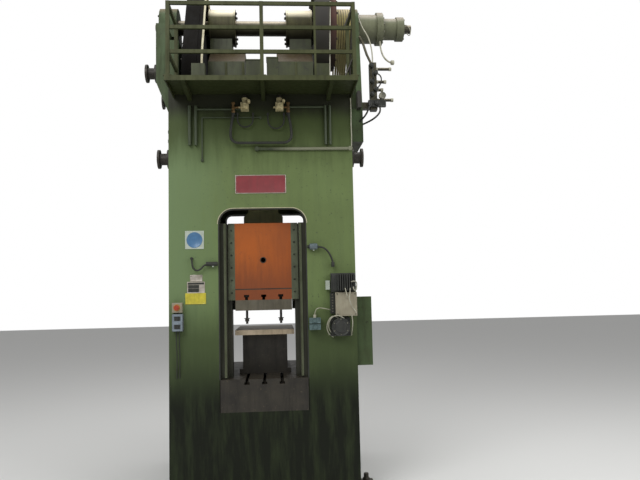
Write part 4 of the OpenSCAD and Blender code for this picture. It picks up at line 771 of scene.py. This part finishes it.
class PRESS_OT_control_boxes(bpy.types.Operator):
    """Controller, relay block, terminals, solenoids and round pressure switch right of the window"""
    bl_idname = "press.control_boxes"
    bl_label = "Control boxes"

    def execute(self, context):
        y = FRONT_Y
        beige = framed(block((574, y - 90, 1420), (745, y, 1608)), FRONT, 5, 0, (1.5, -2), (3, 3), edge=3)
        dress(beige, "controller_case", "beige_plastic")
        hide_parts("control_boxes")
        relay = framed(block((501, y - 40, 1632), (534, y, 1705)), FRONT, 3, -2, edge=1.5)
        dress(relay, "relay_block", "white_sign")
        base = framed(block((542, y - 60, 1612), (740, y, 1762)), FRONT, 8, 0, (2, 8), edge=2)
        ribs = [block((x, y - 120, 1622), (x + 10, y - 60, 1752)) for x in range(590, 717, 18)]
        dress(join([base] + ribs), "contactor_block", "black_plastic")
        strip = framed(block((535, y - 50, 1440), (570, y, 1606)), FRONT, 3, 0, (1, -3))
        dress(strip, "terminal_strip", "black_plastic")
        places = [((552, y - 48, z), FRONT) for z in range(1458, 1591, 22)]
        bolts("terminal_screws", "zinc_steel", places, 12, 6, head=socket_screw)
        solenoids = []
        for z in (1315, 1366):
            body = framed(block((363, y - 70, z), (453, y, z + 44)), FRONT, 5, 0, (2, -3), edge=4)
            solenoids += [body, drum((408, y - 70, z + 22), FRONT, 15, 12, 24)]
        dress(join(solenoids), "solenoid_pair", "teal_anodised")
        gland = framed(drum((408, y - 30, 1410), UP, 12, 22, 24), UP, 3, 2)
        dress(gland, "solenoid_gland", "pale_pvc")
        box = framed(block((530, y - 60, 1262), (690, y, 1408)), FRONT, 6, 0, (2, -3), edge=3)
        switch = drum((610, y, 1335), FRONT, 72, 112, 48)
        framed(switch, FRONT, 6, 0, (2, -4), (18, 0), (2, 6), edge=2)
        dress(join([box, switch]), "pressure_switch", "black_plastic")
        places = [((x, y - 90, z), FRONT) for x in (588, 731) for z in (1434, 1594)]
        places += ring((610, y - 108, 1335), FRONT, 60, 6)
        bolts("box_screws", "zinc_steel", places, 11, 4, head=socket_screw)
        return {"FINISHED"}


class PRESS_OT_cables(bpy.types.Operator):
    """Pale cables between the boxes right of the window, on the clutch and below the buttons"""
    bl_idname = "press.cables"
    bl_label = "Cables"

    def execute(self, context):
        r = context.scene.press_sizes.cable
        made = [tube(points, r, FRONT_Y) for points in (
            # From the contactors over the controller and down to the switch
            ((690, -118, 1640), (686, -140, 1600), (676, -135, 1560), (690, -110, 1520), (712, -100, 1480),
             (735, -98, 1450), (742, -60, 1425), (744, -4, 1424)),
            ((715, -118, 1650), (712, -150, 1628), (730, -150, 1618), (746, -110, 1640), (742, -60, 1655)),
            ((700, -118, 1690), (725, -150, 1700), (746, -130, 1672), (740, -118, 1640)),
            ((650, -118, 1640), (655, -145, 1600), (668, -130, 1570), (664, -92, 1560)),
            # Loops round the pressure switch
            ((600, -60, 1400), (570, -90, 1425), (530, -95, 1415), (505, -80, 1370), (500, -60, 1320),
             (520, -50, 1275), (548, -40, 1258), (556, -6, 1250)),
            ((640, -100, 1398), (600, -120, 1430), (545, -110, 1422), (514, -90, 1375), (516, -70, 1320),
             (540, -50, 1284), (570, -40, 1262)),
            ((700, -90, 1430), (706, -100, 1380), (704, -80, 1330), (700, -50, 1285), (704, -6, 1262)))]
        # Down from the solenoids
        made.append(tube([(408, -30, 1430), (412, -34, 1470), (440, -34, 1490), (500, -30, 1480),
                          (536, -30, 1470)], r * 0.8, FRONT_Y))
        dress(join(made), "control_cables", "pale_pvc")
        # From the clutch housing down to the valve manifold
        manifold_top = corners("air_manifold")[1].z
        top = tube([(914, -128, 4165), (925, -150, 4110), (945, -175, 4040), (985, -200, 3960),
                    (1010, -215, 3860), (1020, -222, 3760), (1018, -222, manifold_top - 250)], r * 1.5)
        drop = tube([(1120, -60, 3966), (1122, -72, 3890), (1140, -90, 3810), (1180, -110, 3750),
                     (1210, -118, 3738)], r * 2)
        ball = round_edges(drum((1205, -118, 3738), RIGHT, 22, 34, 24), 9, 3)
        # Down the front plate's right edge, and a loop at the air union
        edge = tube([(745, -12, 3214), (748, -16, 3120), (744, -12, 3000), (747, -14, 2880),
                     (744, -12, 2800)], r, FRONT_Y)
        loop = tube([(1380, -30, 4140), (1400, -44, 4120), (1424, -40, 4080), (1420, -20, 4040),
                     (1395, -10, 4050), (1385, -16, 4090)], r)
        dress(join([top, drop, ball, loop, edge]), "clutch_cables", "pale_pvc")
        # Two dark leads below the button stations and a short one between them
        x = corners("button_box")[0].x + 42
        leads = [tube([(x + d, -30, 1330), (x + d, -30, 1240), (x + d + 6, -26, 1120), (x + d, -14, 1010),
                       (x + d, -2, 960)], r, FRONT_Y) for d in (-12, 10)]
        leads.append(tube([(x - 3, -30, 1476), (x - 3, -40, 1471), (x - 3, -30, 1466)], r, FRONT_Y))
        dress(join(leads), "button_leads", "hose_rubber")
        return {"FINISHED"}


class PRESS_OT_hoses(bpy.types.Operator):
    """Smooth rubber hoses under the air valves and beside the window"""
    bl_idname = "press.hoses"
    bl_label = "Hoses"

    def execute(self, context):
        y = FRONT_Y
        # The wide hose under both valves, a small one under each, and their fittings
        top = 3080
        wide = [(-221, top), (-226, 3045), (-238, 2990), (-244, 2935), (-245, 2905)]
        wide += [(-185 - 60 * math.cos(a), 2895 - 60 * math.sin(a)) for a in (0.3, 0.7, 1.1, 1.5)]
        wide += [(x, 2835) for x in (-140, -60, 0, 60, 140)]
        wide += [(190 + 60 * math.sin(a), 2895 - 60 * math.cos(a)) for a in (0.1, 0.5, 0.9, 1.3)]
        wide += [(250, 2905), (249, 2935), (243, 2990), (231, 3045), (226, top)]
        pieces = [tube([(x, -40, z) for x, z in wide], 11, y)]
        for middle, bend, drop in ((-125, 63, 80), (125, 66, 92)):
            low = top - drop + bend / 2
            arc = [(middle - bend * math.cos(a), -30, low - bend * math.sin(a))
                   for a in (math.radians(d) for d in range(0, 181, 20))]
            pieces.append(tube([(middle - bend, -30, top), *arc, (middle + bend, -30, top)], 6, y))
        for x, out, r, sides in ((-221, 46, 17, 6), (226, 46, 17, 6), (-188, 36, 9, 20), (-62, 36, 9, 20),
                                 (59, 36, 9, 20), (191, 36, 9, 20)):
            pieces.append(round_edges(drum((x, y, top), FRONT, r, out, sides), 1.5))
        hoses = dress(join(pieces), "valve_hoses", "hose_rubber")
        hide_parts("front_hoses")
        # The oil hose left of the window, with its sleeve
        z = 1857
        left = [(-566, z + 46), (-562, z + 10), (-558, z - 22), (-546, z - 42), (-528, z - 51),
                (-508, z - 49), (-490, z - 36), (-474, z - 18), (-455, z - 5), (-435, z)]
        pieces = [tube([(x, -28, h) for x, h in left], 7, y),
                  framed(drum((-452, y - 28, z), RIGHT, 17, 93, 24), LEFT, 4, 0, (1, -3), edge=2),
                  drum((-566, y, z + 46), FRONT, 12, 34, 6), drum((-385, y, z), FRONT, 14, 28, 16)]
        # The oil hose right of the window, with its bowl
        b = 1982
        right = [(438, b - 4), (462, b - 4), (484, b - 8), (506, b - 20), (524, b - 38), (540, b - 62),
                 (553, b - 92), (561, b - 118), (564, b - 134)]
        pieces += [tube([(x, -28, h) for x, h in right], 7, y),
                   drum((359, y - 28, b), RIGHT, 13, 22, 6), drum((440, y - 28, b), RIGHT, 12, 8, 6),
                   round_edges(drum((564, y - 28, b - 168), UP, 15, 40, 6), 2),
                   drum((564, y, b - 148), FRONT, 12, 28, 16), drum((379, y, b), FRONT, 16, 28, 16)]
        side = dress(join(pieces), "side_hoses", "hose_rubber")
        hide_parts("slide_hoses")
        bowl = framed(drum((380, y - 28, b), RIGHT, 26, 60), LEFT, 6, 0, (2, 3))
        dress(framed(bowl, RIGHT, 6, 0, (2, 3), edge=5, segments=3), "oil_bowl", "bowl_plastic")
        drips = [drum((x, y - 28, h), DOWN, 7, 9, 20) for x, h in ((411, b - 25), (-397, z - 16))]
        dress(join(drips), "drip_screws", "white_sign")
        return {"FINISHED"}


class PRESS_OT_air_valves(bpy.types.Operator):
    """Coils, caps and brown risers of the two air valves"""
    bl_idname = "press.air_valves"
    bl_label = "Air valves"

    def execute(self, context):
        y = FRONT_Y
        caps, bodies = [], []
        for x in (-127, 155):
            caps.append(framed(drum((x, y - 40, 3205), UP, 17, 22), UP, 4, 0, (2, 6), edge=2))
            lid = block((x - 26, y - 92, 3112), (x + 26, y - 80, 3153))
            bodies.append(framed(lid, FRONT, 3, 2, edge=1.5))
            bodies.append(framed(drum((x + 34, y - 40, 3172), FRONT, 12, 50, 24), FRONT, 3, 3))
            bodies.append(drum((x - 50, y - 40, 3130), RIGHT, 9, 20, 6))
        # Brown risers from the wide hose's ends up to the valves
        risers = []
        for x, inward, reach in ((-221, RIGHT, 60), (226, LEFT, 38)):
            risers.append(drum((x, y - 40, 3084), UP, 11, 84, 20))
            for z, r in ((3086, 17), (3112, 15), (3156, 16)):
                risers.append(round_edges(drum((x, y - 40, z), UP, r, 16, 6), 1.5))
            risers.append(drum((x, y - 40, 3130), inward, 8, reach, 16))
        dress(join(risers), "valve_risers", "brown_brass")
        dress(join(caps), "valve_caps", "oily_iron")
        dress(join(bodies), "valve_coils", "cast_alloy")
        return {"FINISHED"}


class PRESS_OT_buttons(bpy.types.Operator):
    """Lids, collar and bezels of the button stations"""
    bl_idname = "press.buttons"
    bl_label = "Button stations"

    def execute(self, context):
        y = FRONT_Y - 60

        def clear(piece, *buttons):
            """The piece with a hole for each button's shank."""
            for x, z in buttons:
                bore(piece, (x, y + 10, z), FRONT, 13, 30)
            return piece

        for node, name, finish, buttons in (("stop_box", "stop_lid", "beige_plastic", (STOP_BUTTON,)),
                                            ("button_box", "station_lid", "pale_plastic", PAIR_BUTTONS)):
            low, high = corners(node)
            lid = block((low.x + 2, y - 3, low.z + 2), (high.x - 2, y + 1, high.z - 2))
            dress(clear(framed(lid, FRONT, 2, edge=1.5), *buttons), name, finish)
        collar = drum((STOP_BUTTON[0], y - 2.8, STOP_BUTTON[1]), FRONT, 28, 0.8, 40)
        dress(clear(collar, STOP_BUTTON), "stop_collar", "amber_plastic")
        rims = []
        for x, z in PAIR_BUTTONS:
            rim = block((x - 24, y - 6, z - 17), (x + 24, y - 2.5, z + 17))
            rims.append(clear(framed(rim, FRONT, 2, edge=1.2), (x, z)))
        dress(join(rims), "button_rims", "black_plastic")
        return {"FINISHED"}


class PRESS_OT_railing(bpy.types.Operator):
    """Foot plates and braces of the railing, the platform's tread and the grease line"""
    bl_idname = "press.railing"
    bl_label = "Railing details"

    def execute(self, context):
        low, high = corners("platform_deck")
        rail_low, rail_high = corners("railing")
        feet = [round_edges(block((x - 32, low.y + 4, high.z), (x + 32, low.y + 54, high.z + 8)), 2)
                for x in (rail_low.x + 14, 25, rail_high.x - 14)]
        bars = [round_edges(block((low.x + 60, y, high.z), (high.x - 60, y + 6, high.z + 2.2)), 0.8, 1)
                for y in (low.y + 60 + 26 * k for k in range(15))]
        dress(join(feet), "railing_feet", "rail_enamel")
        dress(join(bars), "platform_tread", "rail_enamel")
        braces = [tube([(731, -1122, z), (700, -1122, z - 72), (664, -1122, z - 150)], 6)
                  for z in (3806, 3420)]
        x, z = high.x - 22, high.z
        braces.append(tube([(x, high.y - 60, z + 8), (x, high.y - 130, z + 260),
                            (x, low.y + 60, z + 560)], 7))
        dress(join(braces), "railing_braces", "oily_iron")
        # Pale grease line tied behind the three rails, with a nipple on top
        y = rail_low.y + 34
        line = [tube([(543, y, high.z), (548, y, 3450), (554, y, 3650), (560, y, 3846)], 4)]
        line += [drum((x, y + 4, z), FRONT, 7, 8, 16) for x, z in ((548, 3447), (554, 3637), (559, 3827))]
        line.append(drum((560, y, 3840), UP, 8, 16, 6))
        dress(join(line), "grease_line", "pale_pvc")
        return {"FINISHED"}


class PRESS_OT_manifold(bpy.types.Operator):
    """Pipe ends, valves, gauge and hoses of the air manifold on the right"""
    bl_idname = "press.manifold"
    bl_label = "Air manifold"

    def execute(self, context):
        x, y = 1046, -220
        stubs = []
        for z, length in ((3638, 140), (3518, 90), (3443, 60), (3348, 150)):
            stubs.append(round_edges(drum((x, y, z), RIGHT, 17, 18, 6), 2))
            end = drum((x + length - 20, y, z), RIGHT, 17, 22, 24)
            stubs.append(framed(end, RIGHT, 5, 0, (1, -8)))
        dress(join(stubs), "manifold_ends", "pale_pvc")
        dark = []
        for x, z in ((998, 3650), (1034, 3580), (998, 3505), (1034, 3430), (998, 3385), (1034, 3300)):
            valve = drum((x, y - 40, z), FRONT, 20, 46, 24)
            dark.append(framed(valve, FRONT, 4, 0, (2, -3), (4, 6), edge=1.5))
        coil = block((960, y - 70, 3270), (1120, y - 30, 3330))
        dark.append(framed(coil, FRONT, 6, 0, (3, -4), edge=3))
        dress(join(dark), "manifold_valves", "black_plastic")
        gauge = drum((1090, y - 42, 3372), FRONT, 32, 30, 40)
        dress(framed(gauge, FRONT, 4, 0, (1.5, -4), edge=1.5), "manifold_gauge", "zinc_steel")
        hoses = [tube(points, radius, y) for radius, *points in (
            (6, (1016, -60, 3650), (1000, -90, 3600), (1004, -96, 3540), (1020, -80, 3500), (1000, -60, 3440)),
            (6, (1040, -60, 3580), (1075, -80, 3560), (1084, -84, 3500), (1060, -70, 3450), (1036, -50, 3430)),
            (8, (1000, -60, 3300), (960, -90, 3260), (940, -100, 3200), (900, -80, 3150), (860, -40, 3120)),
            (8, (1060, -50, 3290), (1070, -90, 3230), (1030, -100, 3170), (960, -60, 3130), (890, -20, 3110)))]
        dress(join(hoses), "manifold_hoses", "hose_rubber")
        return {"FINISHED"}


class PRESS_OT_motor(bpy.types.Operator):
    """Fan cowl, terminal lid and lifting eye of the motor"""
    bl_idname = "press.motor"
    bl_label = "Motor details"

    def execute(self, context):
        low, high = corners("motor_case")
        cowl = drum((low.x, MOTOR_Y, MOTOR_Z), LEFT, 146, 26, 48)
        framed(cowl, LEFT, 10, 0, (4, -6), (20, 0), (6, 4), (24, 0), (6, -4), edge=2)
        dress(cowl, "fan_cowl", "motor_enamel")
        lid = block((low.x + 146, MOTOR_Y - 64, high.z), (low.x + 284, MOTOR_Y + 64, high.z + 10))
        dress(framed(lid, UP, 5, 3, edge=2.5), "terminal_lid", "motor_enamel")
        eye = tube([(high.x - 60 + 22 * math.cos(a), MOTOR_Y, MOTOR_Z + 174 + 22 * math.sin(a))
                    for a in (2 * math.pi * k / 12 for k in range(12))], 6, closed=True)
        dress(eye, "lifting_eye", "zinc_steel")
        return {"FINISHED"}


class PRESS_OT_crown_trim(bpy.types.Operator):
    """Lids and bands on the crown, rings on the shaft's drums and the lip of the gear guard"""
    bl_idname = "press.crown_trim"
    bl_label = "Trim of the crown"

    def execute(self, context):
        caps = [framed(block((x0, -624, top), (x1, -496, top + 10)), UP, 8, 3, edge=3)
                for x0, x1, top in ((-124, 24, 3570), (51, 154, 3590))]
        caps += [framed(block((x - 12, -303, 3306), (x + 12, -300, 3672)), FRONT, 3, 1.5, edge=1)
                 for x in (-309, -159, 313)]
        dress(join(caps), "crown_lids", "rail_enamel")
        rings = []
        for x in (-250, 462, -477, 235):
            end = framed(drum((x, 0, SHAFT_Z), RIGHT, 171, 15, 64), RIGHT, 20, 0, (1, -1), edge=2)
            rings.append(bore(end, (x - 5, 0, SHAFT_Z), RIGHT, 164.5, 25, 64))
        dress(join(rings), "drum_rings", "drum_enamel")
        # Lip and bead along the guard's right edge, the bead cream as a painted highlight: round the gear, up
        # the tangents, round the shaft
        high = corners("gear_guard")[1]
        big, small = high.y, 275
        lean = math.asin((big - small) / (SHAFT_Z - CRANK_Z))
        edge = []
        for centre, radius, start, end, steps in ((CRANK_Z, big - 5, -0.27, lean, 12),
                                                  (SHAFT_Z, small - 5, lean, math.pi - lean, 24),
                                                  (CRANK_Z, big - 5, math.pi - lean, math.pi + 0.27, 12)):
            for k in range(steps + 1):
                turn = start + (end - start) * k / steps
                edge.append((radius * math.cos(turn), centre + radius * math.sin(turn)))
        dress(lip(edge, high.x, high.x + 36, 8), "guard_lip", "guard_paint")
        dress(tube([(high.x + 44, y, z) for y, z in edge], 10), "guard_bead", "edge_highlight")
        return {"FINISHED"}


class PRESS_PT_panel(bpy.types.Panel):
    """Lists the pieces and the settings"""
    bl_label = "Stamping press"
    bl_idname = "PRESS_PT_panel"
    bl_space_type = "VIEW_3D"
    bl_region_type = "UI"
    bl_category = "Press"

    def draw(self, context):
        for group in (context.scene.press_sizes, context.scene.press_stage):
            box = self.layout.box()
            for name in group.__annotations__:
                box.prop(group, name)
        for operator in OPERATORS:
            self.layout.operator(operator.bl_idname)


GROUPS = (PressSizes, PressStage)
OPERATORS = (PRESS_OT_stage, PRESS_OT_paint, PRESS_OT_window_rim, PRESS_OT_plates, PRESS_OT_screws,
             PRESS_OT_slide_trim, PRESS_OT_control_boxes, PRESS_OT_cables, PRESS_OT_hoses,
             PRESS_OT_air_valves, PRESS_OT_buttons, PRESS_OT_railing, PRESS_OT_manifold, PRESS_OT_motor,
             PRESS_OT_crown_trim)


def register():
    for made in (*GROUPS, *OPERATORS, PRESS_PT_panel):
        bpy.utils.register_class(made)
    bpy.types.Scene.press_sizes = bpy.props.PointerProperty(type=PressSizes)
    bpy.types.Scene.press_stage = bpy.props.PointerProperty(type=PressStage)


def unregister():
    del bpy.types.Scene.press_stage
    del bpy.types.Scene.press_sizes
    for made in reversed((*GROUPS, *OPERATORS, PRESS_PT_panel)):
        bpy.utils.unregister_class(made)


def main():
    register()
    for operator in OPERATORS:
        group, name = operator.bl_idname.split(".")
        getattr(getattr(bpy.ops, group), name)()


if __name__ == "__main__":
    main()
